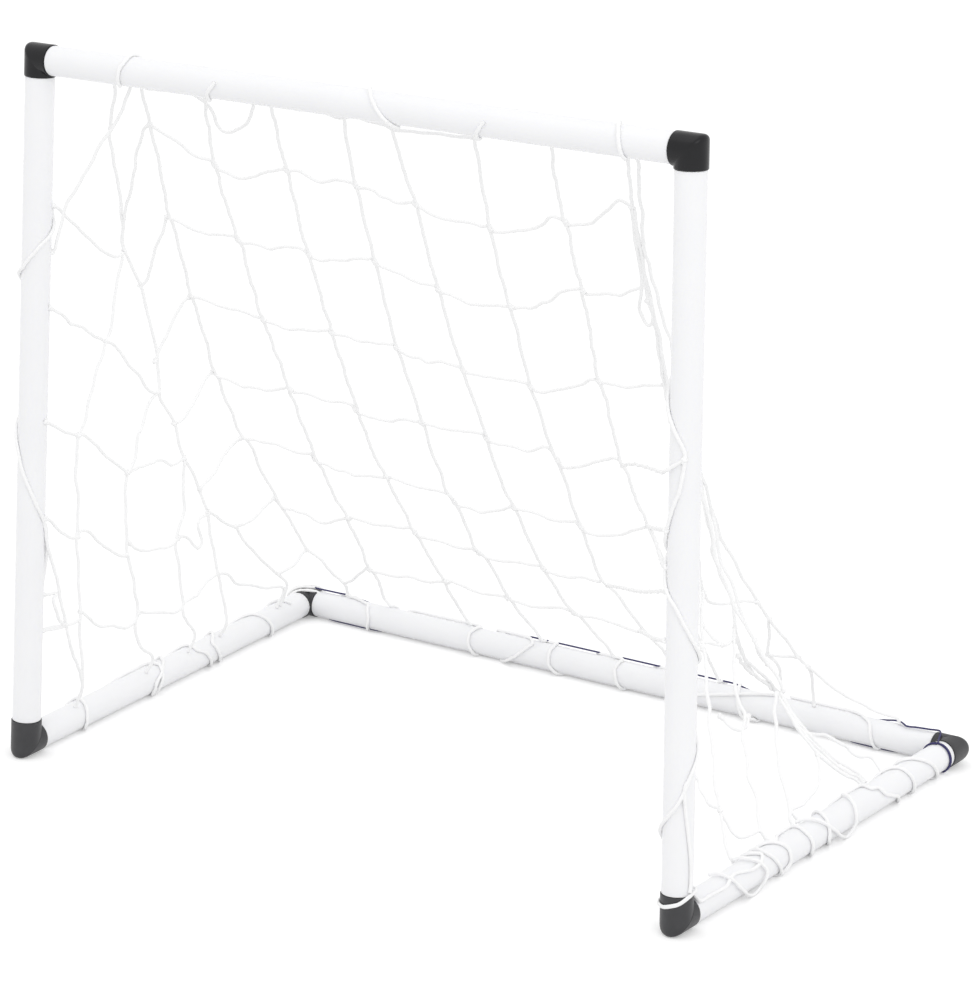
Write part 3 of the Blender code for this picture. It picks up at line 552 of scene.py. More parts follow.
# The two sides' strands: (x, y, z) in mm
LEFT_STRANDS = {
    "gather_down": [
        (-245, -187, 596), (-253, -180, 581), (-261, -173, 566), (-268, -167, 552), (-273, -161, 540),
        (-276, -153, 527), (-283, -140, 505), (-288, -130, 487), (-293, -122, 471), (-297, -116, 459),
        (-304, -109, 443), (-306, -103, 432),
    ],
    "gather_in": [
        (-231, -161, 561), (-239, -159, 555), (-250, -151, 538), (-257, -147, 528), (-261, -142, 518),
        (-269, -137, 506), (-278, -129, 488), (-286, -125, 478), (-293, -119, 465), (-303, -109, 443),
        (-306, -103, 432),
    ],
    "to_post": [
        (-227, -188, 598), (-233, -189, 586), (-237, -189, 574), (-246, -191, 562), (-250, -192, 556),
        (-257, -194, 544), (-266, -196, 528), (-275, -198, 514), (-289, -201, 489), (-294, -202, 475),
        (-298, -202, 461), (-301, -202, 450),
    ],
    "fold": [
        (-306, -103, 432), (-307, -94, 420), (-308, -85, 406), (-309, -78, 396), (-309, -73, 383), (-310, -65, 363),
        (-311, -59, 346), (-312, -52, 329), (-312, -51, 322), (-313, -49, 307), (-313, -49, 295), (-314, -47, 286),
        (-314, -37, 274), (-315, -26, 260), (-316, -21, 250), (-316, -18, 239), (-317, -12, 228), (-317, -7, 218),
        (-318, 5, 203), (-319, 13, 191), (-320, 18, 183), (-320, 25, 167), (-321, 31, 159), (-322, 44, 152),
        (-323, 54, 144), (-323, 64, 137), (-324, 78, 131), (-325, 85, 122), (-326, 98, 108), (-327, 119, 89),
        (-328, 137, 74), (-330, 154, 61), (-331, 169, 48),
    ],
    "second_row": [
        (-269, -91, 465), (-279, -87, 445), (-290, -83, 426), (-298, -80, 409), (-304, -78, 398), (-309, -78, 396),
    ],
    "third_row": [
        (-294, -28, 378), (-297, -31, 375), (-302, -37, 363), (-305, -42, 352), (-308, -47, 340), (-310, -52, 330),
        (-312, -55, 322),
    ],
    "fourth_row": [
        (-317, 34, 292), (-318, 29, 290), (-315, 10, 276), (-313, -4, 267), (-313, -18, 258), (-315, -25, 257),
    ],
    "fifth_row": [
        (-329, 91, 213), (-329, 81, 211), (-327, 64, 203), (-324, 51, 197), (-322, 36, 190), (-320, 18, 184),
    ],
    "sixth_row": [(-328, 143, 142), (-327, 130, 139), (-324, 109, 134), (-323, 92, 131), (-324, 78, 132)],
    "seventh_row": [(-323, 188, 80), (-324, 179, 75), (-324, 171, 69), (-326, 162, 66), (-329, 151, 64)],
    "faint_high": [
        (-300, -201, 490), (-301, -183, 476), (-303, -166, 462), (-304, -152, 452), (-305, -135, 439),
        (-306, -115, 428), (-306, -105, 431),
    ],
    "faint_low": [
        (-303, -207, 403), (-303, -202, 400), (-304, -185, 390), (-305, -180, 384), (-306, -160, 375),
        (-307, -143, 364), (-308, -127, 356),
    ],
    "faint_link": [
        (-308, -127, 356), (-309, -114, 349), (-310, -96, 330), (-311, -77, 311), (-313, -59, 294), (-313, -49, 292),
    ],
    "col_a": [
        (-306, -106, 431), (-306, -107, 421), (-307, -112, 407), (-307, -116, 394), (-307, -120, 377),
        (-308, -122, 361), (-308, -127, 356), (-308, -132, 347), (-308, -141, 335), (-308, -146, 320),
        (-308, -152, 309), (-308, -156, 297), (-309, -163, 284), (-309, -166, 280),
    ],
    "row_4": [(-306, -213, 304), (-307, -199, 296), (-308, -182, 287), (-309, -166, 280)],
    "col_b": [
        (-313, -49, 292), (-313, -62, 287), (-313, -68, 278), (-313, -72, 268), (-313, -80, 260), (-313, -81, 253),
        (-313, -82, 243), (-314, -88, 232), (-313, -95, 228),
    ],
    "row_5a": [
        (-309, -166, 280), (-309, -159, 280), (-310, -150, 272), (-310, -138, 263), (-311, -127, 252),
        (-312, -115, 243), (-313, -103, 235), (-313, -95, 228),
    ],
    "row_5b": [
        (-313, -95, 228), (-314, -89, 228), (-314, -79, 229), (-315, -67, 229), (-315, -49, 228), (-316, -38, 225),
        (-317, -27, 218), (-317, -18, 219), (-317, -8, 220),
    ],
    "fall_a": [
        (-309, -166, 280), (-309, -169, 271), (-309, -169, 258), (-310, -170, 244), (-310, -167, 227),
        (-311, -167, 209), (-311, -167, 194), (-312, -168, 188), (-312, -168, 176), (-313, -165, 160),
        (-313, -165, 145), (-314, -163, 128), (-314, -163, 117), (-315, -163, 100), (-315, -161, 81),
        (-316, -159, 61), (-317, -158, 44),
    ],
    "fall_b": [
        (-313, -95, 228), (-314, -98, 213), (-314, -96, 194), (-315, -96, 175), (-316, -94, 156), (-316, -91, 147),
        (-317, -89, 139), (-317, -83, 124), (-318, -83, 113), (-318, -76, 99), (-319, -75, 91), (-319, -79, 85),
        (-319, -82, 79), (-320, -76, 66), (-320, -71, 56), (-321, -60, 48), (-321, -52, 42),
    ],
    "fall_c": [
        (-317, -8, 220), (-318, -8, 203), (-318, -9, 186), (-319, -7, 170), (-319, -13, 158), (-319, -17, 149),
        (-320, -19, 135), (-320, -15, 122), (-321, -12, 110), (-322, -8, 93), (-322, -6, 81), (-322, -8, 71),
        (-323, -1, 62), (-324, 10, 51), (-324, 15, 45), (-324, 14, 41),
    ],
    "fall_d": [
        (-321, 31, 158), (-322, 35, 139), (-323, 40, 124), (-323, 44, 111), (-324, 49, 95), (-325, 55, 79),
        (-325, 59, 64), (-326, 64, 50), (-326, 66, 42),
    ],
    "row_6a": [
        (-309, -213, 218), (-309, -206, 214), (-310, -195, 202), (-311, -184, 195), (-311, -172, 188),
        (-312, -166, 188),
    ],
    "row_6b": [
        (-312, -167, 190), (-312, -164, 193), (-312, -155, 191), (-313, -146, 185), (-313, -137, 176),
        (-314, -123, 165), (-315, -105, 154), (-316, -94, 151),
    ],
    "row_6c": [
        (-316, -91, 162), (-316, -84, 156), (-317, -71, 149), (-318, -53, 145), (-319, -34, 142), (-319, -22, 143),
        (-319, -16, 146),
    ],
    "row_6d": [
        (-319, -16, 148), (-320, -3, 143), (-321, 7, 135), (-321, 16, 127), (-322, 23, 128), (-322, 24, 134),
        (-321, 17, 143), (-320, 14, 153), (-321, 19, 156), (-321, 31, 156),
    ],
    "row_7a": [
        (-314, -163, 118), (-314, -157, 114), (-315, -148, 106), (-316, -136, 97), (-317, -118, 91), (-318, -97, 83),
        (-319, -85, 82), (-319, -79, 85), (-319, -75, 91),
    ],
    "row_7b": [
        (-319, -75, 92), (-320, -58, 86), (-320, -42, 82), (-321, -27, 76), (-322, -14, 74), (-322, -6, 78),
        (-322, -1, 81), (-323, 8, 81), (-323, 16, 81), (-323, 24, 86), (-323, 33, 91), (-324, 50, 93), (-325, 66, 87),
        (-325, 73, 81), (-326, 83, 73), (-327, 100, 68), (-328, 120, 59), (-330, 162, 46),
    ],
    "edge": [
        (-308, -216, 219), (-309, -212, 201), (-310, -208, 187), (-311, -202, 173), (-311, -198, 162),
        (-312, -193, 146), (-312, -190, 132), (-313, -186, 122), (-314, -182, 111), (-314, -179, 97),
        (-315, -173, 82), (-316, -165, 67), (-316, -161, 56), (-317, -158, 44),
    ],
    "edge_loop": [
        (-312, -193, 144), (-312, -199, 142), (-312, -202, 139), (-312, -197, 131), (-313, -195, 124),
        (-313, -192, 117), (-314, -182, 110),
    ],
    "edge_link": [(-314, -182, 111), (-314, -174, 110), (-314, -167, 110), (-314, -163, 111)],
}
RIGHT_STRANDS = {
    "bunch_a": [
        (243, -187, 597), (241, -179, 587), (235, -166, 568), (230, -154, 551), (225, -141, 534), (220, -129, 516),
        (216, -115, 498), (212, -103, 481), (210, -94, 469), (209, -86, 457), (206, -73, 440), (200, -55, 415),
        (194, -39, 392), (190, -26, 376), (187, -16, 361), (182, 1, 337), (183, 22, 309), (187, 32, 295),
        (189, 41, 282),
    ],
    "bunch_b": [
        (252, -186, 595), (246, -172, 577), (241, -162, 562), (238, -154, 551), (234, -144, 538), (227, -131, 520),
        (224, -122, 507), (223, -113, 496), (221, -101, 478), (218, -86, 457), (215, -70, 436), (214, -61, 424),
        (209, -41, 395), (200, -9, 351), (195, 18, 314), (190, 41, 283),
    ],
    "bunch_c": [
        (229, -154, 551), (224, -140, 532), (219, -128, 515), (215, -115, 498), (211, -103, 480), (203, -91, 464),
        (197, -82, 452), (196, -74, 442), (198, -70, 435), (204, -73, 439), (208, -80, 450), (208, -89, 461),
    ],
    "bunch_d": [
        (231, -153, 550), (226, -138, 529), (221, -123, 508), (216, -107, 487), (212, -93, 468), (209, -78, 446),
        (204, -60, 422), (199, -44, 399), (192, -25, 374), (187, -11, 355), (182, 1, 337),
    ],
    "fold": [
        (189, 41, 282), (190, 50, 270), (187, 62, 254), (184, 72, 241), (184, 85, 223), (183, 95, 208),
        (186, 108, 191), (188, 120, 174), (190, 131, 159), (194, 143, 142), (199, 156, 124), (203, 169, 107),
        (209, 175, 99), (213, 186, 83), (220, 193, 73), (228, 200, 63), (241, 208, 52), (253, 217, 41),
        (263, 217, 40), (271, 222, 34), (290, 222, 33), (297, 223, 32),
    ],
    "inner_a": [
        (188, 43, 280), (189, 46, 260), (191, 49, 247), (193, 53, 233), (195, 55, 222), (194, 56, 211),
        (198, 60, 200), (199, 62, 191), (205, 68, 176), (207, 71, 165), (209, 74, 152), (209, 75, 140),
    ],
    "inner_b": [
        (184, 72, 241), (189, 72, 225), (191, 71, 212), (194, 72, 201), (197, 73, 194), (204, 75, 181),
        (208, 76, 169), (212, 77, 157), (219, 79, 143), (225, 81, 131), (230, 83, 121),
    ],
    "inner_c": [
        (187, 46, 276), (191, 47, 257), (195, 48, 241), (200, 50, 224), (201, 49, 210), (205, 51, 200),
        (209, 52, 190), (215, 55, 176), (220, 57, 162), (225, 60, 153), (232, 64, 141), (237, 66, 131),
        (245, 70, 117), (252, 75, 104), (257, 77, 94),
    ],
    "row_a": [
        (172, 77, 176), (173, 84, 163), (174, 90, 153), (175, 94, 152), (180, 107, 147), (184, 118, 147),
        (189, 133, 145), (194, 143, 142),
    ],
    "row_b": [(222, 87, 129), (194, 150, 91), (176, 200, 64)],
    "row_c": [(203, 15, 144), (208, 33, 139), (214, 50, 134), (213, 68, 136)],
    "row_d": [(181, 190, 77), (193, 190, 78), (213, 186, 83)],
    "tie_a": [(196, 41, 151), (206, 41, 142), (213, 46, 135)],
    "drop_a": [
        (199, 156, 124), (192, 168, 108), (189, 177, 96), (181, 190, 77), (186, 196, 69), (186, 205, 57),
        (181, 220, 36),
    ],
    "drop_b": [(220, 193, 73), (219, 204, 58), (214, 217, 40)],
    "bundle_a": [
        (209, 75, 140), (198, 106, 113), (190, 132, 90), (186, 148, 77), (181, 176, 58), (179, 205, 42),
        (176, 227, 27),
    ],
    "bundle_b": [(211, 71, 138), (198, 109, 106), (192, 137, 86), (188, 163, 70), (183, 192, 51), (177, 228, 25)],
    "bundle_c": [(224, 54, 125), (208, 99, 97), (199, 132, 79), (189, 165, 62), (172, 226, 28)],
    "fall_a": [
        (172, 77, 176), (183, 59, 165), (191, 40, 156), (204, 19, 143), (209, 20, 138), (216, 12, 131), (222, 4, 125),
        (231, -11, 115), (240, -23, 106), (249, -37, 97), (262, -54, 84), (274, -71, 71), (285, -87, 60),
        (294, -96, 51), (306, -110, 39), (318, -123, 26),
    ],
    "fall_a2": [(180, 70, 168), (189, 52, 159), (197, 38, 150), (209, 20, 138)],
    "fall_a3": [
        (294, -96, 51), (301, -98, 45), (307, -100, 38), (314, -98, 32), (316, -87, 31), (317, -76, 30),
        (316, -69, 31),
    ],
    "fall_b": [
        (207, 77, 143), (215, 64, 134), (225, 45, 124), (239, 24, 110), (250, 12, 98), (256, 12, 92), (267, -13, 81),
        (275, -20, 73), (284, -33, 63), (290, -40, 58), (295, -43, 53), (302, -49, 46), (310, -60, 37),
        (316, -68, 31), (323, -70, 24),
    ],
    "fall_c": [
        (257, 64, 94), (264, 48, 86), (272, 39, 78), (279, 24, 70), (290, 10, 59), (301, -3, 48), (311, -13, 38),
        (318, -20, 31), (323, -29, 26),
    ],
    "fall_d": [(301, 59, 51), (308, 49, 44), (316, 34, 36), (319, 10, 32), (320, -6, 30), (318, -19, 32)],
    "cross_a": [(249, -19, 98), (251, -17, 96), (258, -18, 89), (263, -3, 85), (262, 6, 86), (258, 13, 90)],
    "cross_b": [(267, -99, 77), (271, -93, 73), (278, -101, 66), (283, -100, 62), (287, -104, 57), (292, -96, 53)],
    "ribbon_a": [
        (257, 71, 94), (268, 66, 83), (281, 63, 70), (293, 63, 59), (301, 66, 52), (311, 71, 42), (321, 79, 33),
        (327, 88, 27),
    ],
    "ribbon_b": [
        (259, 71, 92), (271, 67, 80), (282, 66, 70), (293, 68, 59), (301, 71, 52), (310, 76, 43), (320, 84, 34),
        (327, 92, 27),
    ],
    "ribbon_c": [
        (257, 66, 93), (267, 63, 84), (280, 59, 72), (292, 59, 60), (301, 60, 51), (311, 66, 41), (321, 74, 32),
        (328, 83, 26),
    ],
    "ribbon_d": [
        (262, 68, 89), (272, 65, 79), (282, 62, 69), (290, 73, 62), (294, 87, 59), (304, 94, 50), (308, 101, 46),
        (312, 101, 42), (317, 107, 37), (321, 121, 34), (327, 119, 29),
    ],
    "fall_top": [(182, 55, 264), (178, 59, 244), (176, 64, 225), (174, 69, 205), (173, 73, 190), (172, 77, 176)],
    "row_4_end": [
        (110, 47, 275), (155, -14, 299), (210, -89, 325), (266, -168, 351), (306, -225, 371), (315, -226, 377),
        (322, -225, 383),
    ],
    "row_5_end": [(108, 96, 208), (161, 12, 238), (308, -224, 325)],
    "row_6_end": [(33, 158, 122), (94, 75, 155), (195, -65, 210), (307, -223, 276)],
    "row_7_end": [(46, 196, 70), (218, -79, 178), (308, -224, 237)],
    "column_7_end": [(109, 94, 210), (179, -15, 239), (261, -149, 275), (306, -222, 295)],
}


def wound(tube_name, places, radius=WRAP_R):
    """Twine on a tube through (mm along, degrees round, mm proud): P = axis(d) + r (level cos a + rise sin a).

    Under a ground tube it is lifted on to the floor.
    """
    start, end, _, _, up = TUBES[tube_name]
    along = unit(end - start)
    rise = unit(up - along * (up @ along))
    level = np.cross(rise, along)
    table = np.array([(*place, 0.0)[:3] for place in places], float)
    # A point for every 20 degrees round and every 15 mm along
    turn = np.abs(np.diff(table[:, 1])) / 20 + np.abs(np.diff(table[:, 0])) / 15
    at = np.r_[0, np.cumsum(turn)]
    fine = np.linspace(0, at[-1], int(at[-1]) + 2)
    d, a, proud = (np.interp(fine, at, table[:, column])[:, None] for column in range(3))
    a = np.radians(a)
    line = start + along * d / 1000 + (level * np.cos(a) + rise * np.sin(a)) * (radius + proud / 1000)
    line[:, 2] = np.maximum(line[:, 2], LYING_Z)
    return line


def on_slope(points):
    """Points of the back's slope, top + across x + down, from millimetres across and down it."""
    table = np.asarray(points, float) / 1000
    return SLOPE_TOP + table[:, :1] * ACROSS + table[:, 1:] * DOWN


def nearest_axis_point(point):
    """The nearest point of the tubes' axes: start + along t, with t kept between the tube's ends."""
    feet = []
    for start, end, *_ in TUBES.values():
        along = unit(end - start)
        feet.append(start + along * np.clip((point - start) @ along, 0, np.linalg.norm(end - start)))
    return min(feet, key=lambda foot: np.linalg.norm(point - foot))


def carried_to_tubes(line, reach=0.034):
    """A strand whose ends go on to the tube that they hang beside: P = foot + (end - foot) / off (R + 0.4 r)."""
    for _ in range(2):
        line = line[::-1]
        foot = nearest_axis_point(line[-1])
        off = np.linalg.norm(line[-1] - foot)
        if 0.002 < off - TUBE_R < reach:
            line = np.vstack([line, foot + (line[-1] - foot) / off * (TUBE_R + 0.4 * TWINE_R)])
    return line


def slack(points, seed, sway=0.00035):
    """A hanging strand: its corners are worn round, then three sines of its length with seeded phases are added.

    The sines fade out over the last 10 mm at either end, so that the ends stay where they are tied.
    """
    line = smooth_line(points, 0.003)
    for _ in range(3):
        line[1:-1] = (line[:-2] + 2 * line[1:-1] + line[2:]) / 4
    run = distances(line)
    ends = np.clip(np.minimum(run, run[-1] - run) / 0.010, 0, 1)
    phases = np.random.default_rng(seed).uniform(0, 2 * math.pi, (3, 3))
    waves = sum(
        share * np.sin(2 * math.pi * run[:, None] / wave + phase)
        for (wave, share), phase in zip(SLACK_WAVES, phases)
    )
    return line + waves * (sway * ends)[:, None]


def back_column(points, seed):
    """A column of the back: its slack line down the slope, hooked behind the crossbar and over the rear tube."""
    line = slack(on_slope(points), seed)
    high = (line[0] - corner("top", -1))[0] * 1000
    low = (line[-1] - corner("rear", -1))[0] * 1000
    over = wound("crossbar", [(high + d, a) for d, a in HOOK_ON_CROSSBAR])
    under = wound("rear_tube", [(low + d, a) for d, a in HOOK_ON_REAR])
    return np.concatenate([over, line, under])


def knot_turns(centre, axis, out, radius=0.0013, turns=2.5, rise=0.0030):
    """A strand wound round another: P = centre + radius (out cos a + across sin a) + axis climb."""
    across = np.cross(axis, out)
    a = math.pi / 2 + np.linspace(0, 2 * math.pi * turns, KNOT_POINTS)
    climb = np.linspace(-rise, rise, KNOT_POINTS)
    return centre + radius * (np.cos(a)[:, None] * out + np.sin(a)[:, None] * across) + axis * climb[:, None]


def back_row(spans, seed):
    """A row of the back: its slack spans, with a knot's turns round each column between them."""
    parts = [slack(on_slope(span), seed * 20 + k) for k, span in enumerate(spans)]
    line = [parts[0]]
    for before, after in zip(parts, parts[1:]):
        axis = unit(after[0] - before[-1] + DOWN * 0.008)
        line += [knot_turns((before[-1] + after[0]) / 2, axis, OUT), after]
    return np.concatenate(line)


def side_net(table, first_seed):
    """A side's strands, with a knot's turns wherever one of them ends on another, but none beside a ground tube."""
    beside_tube, same_knot = 0.045, 0.007
    lines, tied = [], []
    for seed, points in enumerate(table.values(), first_seed):
        line = slack(carried_to_tubes(np.array(points) / 1000), seed)
        lines.append(line)
        for end, inner in ((line[0], line[3]), (line[-1], line[-4])):
            if end[2] > beside_tube and all(np.linalg.norm(end - other) > same_knot for other in tied):
                tied.append(end)
                axis = unit(end - inner)
                out = unit(np.cross(axis, BACK + UP * 0.3))
                lines.append(knot_turns(end, axis, out, radius=0.0012, turns=1.5, rise=0.0018))
    return lines


twine_piece("back_net_columns", [back_column(line, 300 + k) for k, line in enumerate(COLUMN_LINES)], ["net_back"])
twine_piece("back_net_rows", [back_row(spans, 20 + k) for k, spans in enumerate(ROW_SPANS)], [])
twine_piece("left_net_strands", side_net(LEFT_STRANDS, 500), ["net_left"])
twine_piece("right_net_strands", side_net(RIGHT_STRANDS, 600), ["net_right"])


# ---------------------------------------------------------------- lacing
# Where each twine runs: (mm along the tube, degrees round it). Round the crossbar and the rear tube 0 is the
# back, 90 the top and 180 the front; round a post 0 is +X and 90 the back; round a side tube 90 is the top
CROSSBAR_LACING = [
    [(74, -60), (84, -20), (98, 30), (97, 77), (97, 135), (94, 162), (92, 196), (90, 235)],
    [(172, -70), (178, -110), (182, -158), (187, -178), (190, -196)],
    [(305, -60), (316, -10), (322, 30), (328, 77), (339, 139), (344, 163), (350, 193), (356, 225), (360, 262)],
    [(432, -80), (437, -147), (442, -175), (445, -190)],
    [(437, -60), (460, -30), (500, -20), (530, -30), (541, -45), (547, 0), (552, 60), (558, 108), (563, 157),
     (565, 193), (566, 240)],
]
LEFT_POST_LACING = [
    [(520, 130), (466, 60), (453, -4), (446, -39), (437, -65), (434, -80), (427, -95), (419, -140), (411, -180),
     (402, -220), (350, -230), (300, -200), (284, -150), (266, -108), (253, -91), (241, -70), (231, -52), (218, -29),
     (206, -3), (196, 20), (160, 60), (120, 100), (90, 120)],
]
RIGHT_POST_LACING = [
    [(450, -235), (430, -190), (407, -144), (398, -115), (386, -86), (378, -66), (370, -60), (362, -66), (346, -76),
     (334, -95), (317, -122), (303, -150), (294, -180), (286, -215)],
    [(300, -225), (290, -180), (281, -152), (270, -140), (264, -118), (254, -82), (238, -49), (227, -24), (215, 10),
     (205, 60), (190, 120), (160, 100), (140, 40), (130, 5), (121, -21), (108, -42), (96, -66), (85, -100),
     (71, -150), (63, -180), (50, -230), (38, -270)],
    [(121, -18), (112, -42), (96, -41), (74, -28), (49, -14), (30, -12), (24, -16)],
]
LEFT_SIDE_LACING = [
    [(60, -20), (74, 20), (81, 58), (76, 115), (70, 173), (70, 218), (90, 300), (118, 360), (150, 400), (170, 418),
     (186, 420), (191, 473), (186, 520), (180, 560), (176, 620), (190, 700), (206, 750), (211, 778), (200, 825),
     (187, 867), (175, 891), (172, 940), (190, 1020), (225, 1090), (245, 1138), (246, 1175), (247, 1212), (256, 1233),
     (262, 1270), (275, 1360), (288, 1440), (294, 1498), (282, 1540), (271, 1569), (274, 1610), (279, 1648),
     (290, 1720), (320, 1800), (350, 1880), (362, 1960), (370, 2040), (380, 2110), (395, 2200), (405, 2290)],
]
RIGHT_SIDE_LACING = [
    [(14, 60), (17, 137), (35, 138), (54, 142), (64, 128), (74, 117), (95, 139), (108, 134), (115, 123), (119, 111),
     (114, 77), (112, 50), (112, 0), (116, -60), (122, -20), (126, 20), (126, 50), (123, 108), (130, 160), (140, 220),
     (144, 280), (136, 340), (132, 380), (140, 425), (146, 460), (151, 499), (150, 550), (140, 600), (134, 660),
     (136, 700), (140, 760), (149, 811), (160, 786), (171, 770), (180, 766), (186, 775), (184, 817), (183, 845),
     (185, 871), (186, 920), (200, 1000), (225, 1060), (232, 1090), (228, 1130), (220, 1178), (217, 1207),
     (214, 1223), (212, 1270), (225, 1340), (250, 1400), (262, 1470), (278, 1492), (291, 1494), (298, 1506),
     (295, 1549), (304, 1561), (309, 1597), (329, 1630), (340, 1680), (345, 1740), (338, 1800), (335, 1820),
     (344, 1852), (350, 1890), (352, 1920), (356, 1970), (362, 2040), (368, 2120), (370, 2220), (380, 2270),
     (391, 2311), (400, 2360), (405, 2389), (400, 2440), (390, 2500)],
    [(58, 60, 1), (62, 110, 1), (70, 165, 1), (86, 215, 1), (98, 230, 4), (106, 215, 1), (112, 170, 1), (108, 130, 1),
     (100, 95, 1), (98, 50, 1)],
    [(196, 50, 1), (204, 100, 1), (214, 150, 1), (230, 200, 1), (244, 226, 3), (254, 205, 1), (256, 160, 1),
     (262, 110, 1), (270, 60, 1)],
]
REAR_LACING = [
    [(26, 20), (40, 60), (60, 90), (76, 112), (83, 170), (80, 215), (77, 247), (84, 300), (100, 360), (118, 410),
     (131, 427), (160, 427), (181, 427), (194, 430), (203, 440), (200, 470), (197, 497), (198, 540), (204, 600),
     (206, 660), (210, 720), (219, 787), (240, 790), (256, 800), (266, 836), (260, 870), (252, 901), (240, 935),
     (229, 967), (232, 1020), (250, 1090), (272, 1140), (286, 1150), (287, 1190), (286, 1216), (288, 1270),
     (300, 1340), (320, 1440), (330, 1507), (345, 1508), (360, 1523), (359, 1560), (358, 1583), (362, 1640),
     (372, 1740), (385, 1830), (395, 1867), (420, 1872), (432, 1900), (440, 1950), (444, 1971), (460, 1958),
     (479, 1941), (496, 1922), (512, 1903), (524, 1890), (532, 1914), (538, 1940), (544, 1961), (552, 2013),
     (556, 2080), (552, 2160), (540, 2220), (533, 2227), (552, 2228), (571, 2227), (593, 2227), (606, 2250),
     (619, 2284), (622, 2310), (624, 2342), (628, 2400), (640, 2480), (655, 2560)],
    [(480, 60, 1), (486, 120, 1), (490, 170, 1), (494, 221, 1), (500, 226, 1), (505, 215, 1), (508, 250, 1)],
]
# The foot tie goes twice round the elbow under the right post, low in front and over the rim on the right
FOOT_TIE = [
    (8, -210), (11, -170), (12, -150), (11, -131), (11, -107), (13, -82), (15, -57), (18, -36), (21, -18), (23, 20),
    (22, 70), (19, 100), (16, 130), (13, 165), (12, 195), (12, 215), (12, 235), (12, 253), (14, 278), (16, 303),
    (19, 324), (22, 342), (23, 380), (22, 430), (20, 470),
]


def border():
    """The border twine that hangs between its turns on the crossbar."""
    return [slack(carried_to_tubes(on_slope(line)), 700 + k) for k, line in enumerate(BORDER_LINES)]


def corner_bunch():
    """Three strands of the net's corner that lie over the rear left elbow.

    P(t) = corner + half_length t along level + (shift + 0.002 t^2) along nearer + (top - drop t^4) up.
    """
    half_length, top, drop = 0.019, 0.0281, 0.009
    t = np.linspace(-1, 1, 9)[:, None]
    level, nearer = unit(ACROSS + 0.64 * BACK), unit(0.64 * ACROSS - BACK)
    lines = []
    for k, shift in enumerate((-0.006, 0.001, 0.008)):
        height = top - 0.0012 * abs(k - 1) - drop * t**4
        over = level * (half_length * t) + nearer * (shift + 0.002 * t**2) + UP * height
        lines.append(corner("rear", -1) * [1, 1, 0] + over)
    return [slack(line, 800 + k) for k, line in enumerate(lines)]


def laced(name, tube_name, tables, nodes, more=()):
    """One tube's lacing from its tables of turns, with more lines of the same twine."""
    twine_piece(name, [wound(tube_name, table) for table in tables] + list(more), nodes)


laced("crossbar_twine", "crossbar", CROSSBAR_LACING, ["lacing_crossbar"], border())
laced("left_post_twine", "left_post", LEFT_POST_LACING, ["lacing_left_post"])
laced("right_post_twine", "right_post", RIGHT_POST_LACING, ["lacing_right_post"])
laced("left_side_twine", "left_side_tube", LEFT_SIDE_LACING, ["lacing_left_side"])
laced("right_side_twine", "right_side_tube", RIGHT_SIDE_LACING, ["lacing_right_side"])
laced("rear_twine", "rear_tube", REAR_LACING, ["lacing_rear"], corner_bunch())
twine_piece("foot_twine", [wound("right_post", FOOT_TIE, ELBOW_R + FOOT_TWINE_R)], ["foot_tie"], FOOT_TWINE_R)


# Where the navy cord runs: (mm along, degrees round), as its ring, along the rear tube and back beneath it
NAVY_RING = [(424, 90), (423, 450), (421, 810)]
NAVY_ABOVE = [
    (683, 83), (664, 95), (652, 104), (645, 80), (630, 45), (600, 12), (520, 5), (486, 30), (470, 67), (452, 69),
    (431, 69), (415, 60), (398, 69), (357, 70), (348, 48), (339, 68), (285, 70), (280, 55), (275, 68), (245, 68),
    (222, 30), (190, 10), (90, 8), (56, 40), (37, 78), (12, 82), (2, 74),
]
NAVY_BELOW = [
    (2, 40), (10, 0), (18, -50), (24, -95), (32, -112), (60, -114), (89, -112), (100, -85), (590, -85), (603, -113),
    (639, -113), (648, -100),
]


def navy_tie():
    """The navy cord: twice round the right side tube's end, then along the rear tube and back beneath."""
    off_tube = 0.0012
    clear = TUBE_R + CORD_R + LYING_GAP
    ring = wound("right_side_tube", NAVY_RING, clear)[::-1]
    upper = wound("rear_tube", NAVY_ABOVE, clear + off_tube)
    lower = wound("rear_tube", NAVY_BELOW, clear + off_tube)
    line = smooth_line(np.concatenate([ring, upper, lower]), CORD_STEP)
    item = mesh_object("navy_tie_cord", *strand_surface(line, CORD_R, CORD_SIDES, CORD_GROOVE, CORD_LAY))
    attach(item, "root")
    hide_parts("tie_cord")
    item.data.materials.append(MATERIALS["cord"])


navy_tie()


# ---------------------------------------------------------------- floor, light and camera
def white_for_view(tree, strength_seen, strength_else):
    """A strength that is one value for what the camera, gloss and glass see, and another for light."""
    path = tree.nodes.new("ShaderNodeLightPath")
    seen = path.outputs["Is Camera Ray"]
    for ray in ("Is Glossy Ray", "Is Transmission Ray"):
        seen = math_node(tree, "MAXIMUM", seen, path.outputs[ray])
    span = tree.nodes.new("ShaderNodeMapRange")
    span.inputs["To Min"].default_value = strength_else
    span.inputs["To Max"].default_value = strength_seen
    tree.links.new(seen, span.inputs["Value"])
    return span.outputs["Result"]


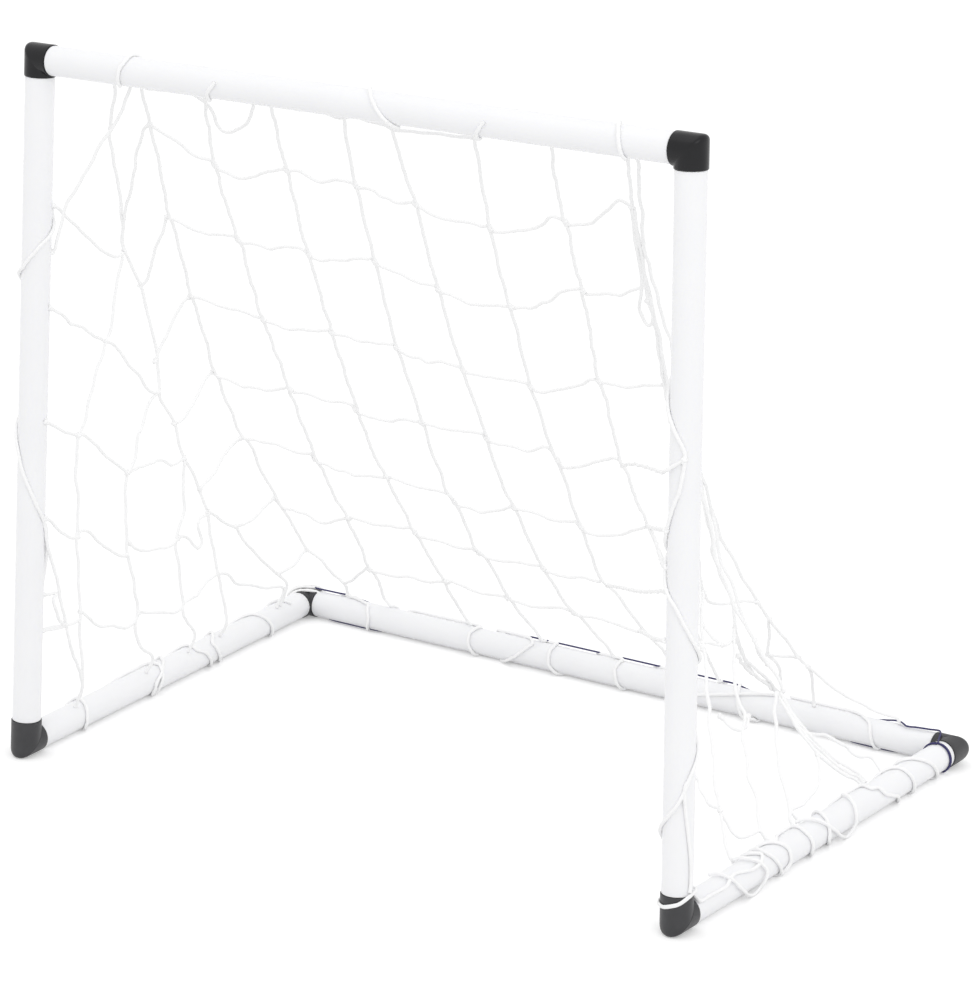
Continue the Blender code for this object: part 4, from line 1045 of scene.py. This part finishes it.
def floor():
    """A plain pale floor that keeps the object's shadow, with a glow that only the view sees."""
    size, below = 12.0, 0.0002
    corners = [(-size, -size, 0), (size, -size, 0), (size, size, 0), (-size, size, 0)]
    verts = np.array(corners, float) - [0, 0, below]
    item = mesh_object("studio_floor", verts, [[0, 1, 2, 3]], smooth=False)
    material = bpy.data.materials.new("studio_floor_white")
    material.use_nodes = True
    tree = material.node_tree
    tree.nodes.clear()
    out = tree.nodes.new("ShaderNodeOutputMaterial")
    diffuse = tree.nodes.new("ShaderNodeBsdfDiffuse")
    diffuse.inputs["Color"].default_value = (0.84, 0.84, 0.84, 1)
    glow = tree.nodes.new("ShaderNodeEmission")
    tree.links.new(white_for_view(tree, 0.30, 0.0), glow.inputs["Strength"])
    both = tree.nodes.new("ShaderNodeAddShader")
    tree.links.new(diffuse.outputs[0], both.inputs[0])
    tree.links.new(glow.outputs[0], both.inputs[1])
    tree.links.new(both.outputs[0], out.inputs["Surface"])
    item.data.materials.append(material)


def sky():
    """White all round, and a little less where it lights the goal."""
    world = bpy.data.worlds.new("studio")
    bpy.context.scene.world = world
    world.use_nodes = True
    tree = world.node_tree
    background = tree.nodes["Background"]
    background.inputs["Color"].default_value = (1, 1, 1, 1)
    tree.links.new(white_for_view(tree, 1.0, 0.97), background.inputs["Strength"])


def softbox(name, place, aim, width, height, watts):
    """A soft rectangular lamp that faces its aim."""
    light = bpy.data.lights.new(name, "AREA")
    light.shape = "RECTANGLE"
    light.size, light.size_y = width, height
    light.energy = watts
    item = bpy.data.objects.new(name, light)
    bpy.context.scene.collection.objects.link(item)
    item.location = place
    item.rotation_euler = (Vector(aim) - Vector(place)).to_track_quat("-Z", "Y").to_euler()


def camera():
    """The photograph's view: from the right and above, with the long lens that its corners fit."""
    yaw, pitch, roll = 0.5697, 0.299, 0.0157
    photo_width, focal_pixels, sensor = 980, 3484.57, 36.0
    place = np.array([1.5454, -2.4022, 1.1253])
    level = math.cos(pitch)
    ahead = np.array([-math.sin(yaw) * level, math.cos(yaw) * level, -math.sin(pitch)])
    across = np.array([math.cos(yaw), math.sin(yaw), 0])
    above = np.cross(across, ahead)
    right = math.cos(roll) * across + math.sin(roll) * above
    up = -math.sin(roll) * across + math.cos(roll) * above
    data = bpy.data.cameras.new("photo_view")
    data.sensor_fit = "HORIZONTAL"
    data.sensor_width = sensor
    data.lens = focal_pixels / photo_width * sensor
    data.clip_end = 100.0
    item = bpy.data.objects.new("photo_view", data)
    bpy.context.scene.collection.objects.link(item)
    rows = np.eye(4)
    rows[:3, 0], rows[:3, 1], rows[:3, 2], rows[:3, 3] = right, up, -ahead, place
    item.matrix_world = Matrix(rows.tolist())
    bpy.context.scene.camera = item


floor()
sky()
softbox("key_softbox", (2.2, -1.6, 1.9), (0, 0, 0.25), 1.2, 1.2, 8)
softbox("top_softbox", (-0.4, -0.6, 2.6), (0, 0, 0.25), 1.6, 1.6, 3)
camera()
bpy.context.scene.view_settings.view_transform = "Standard"
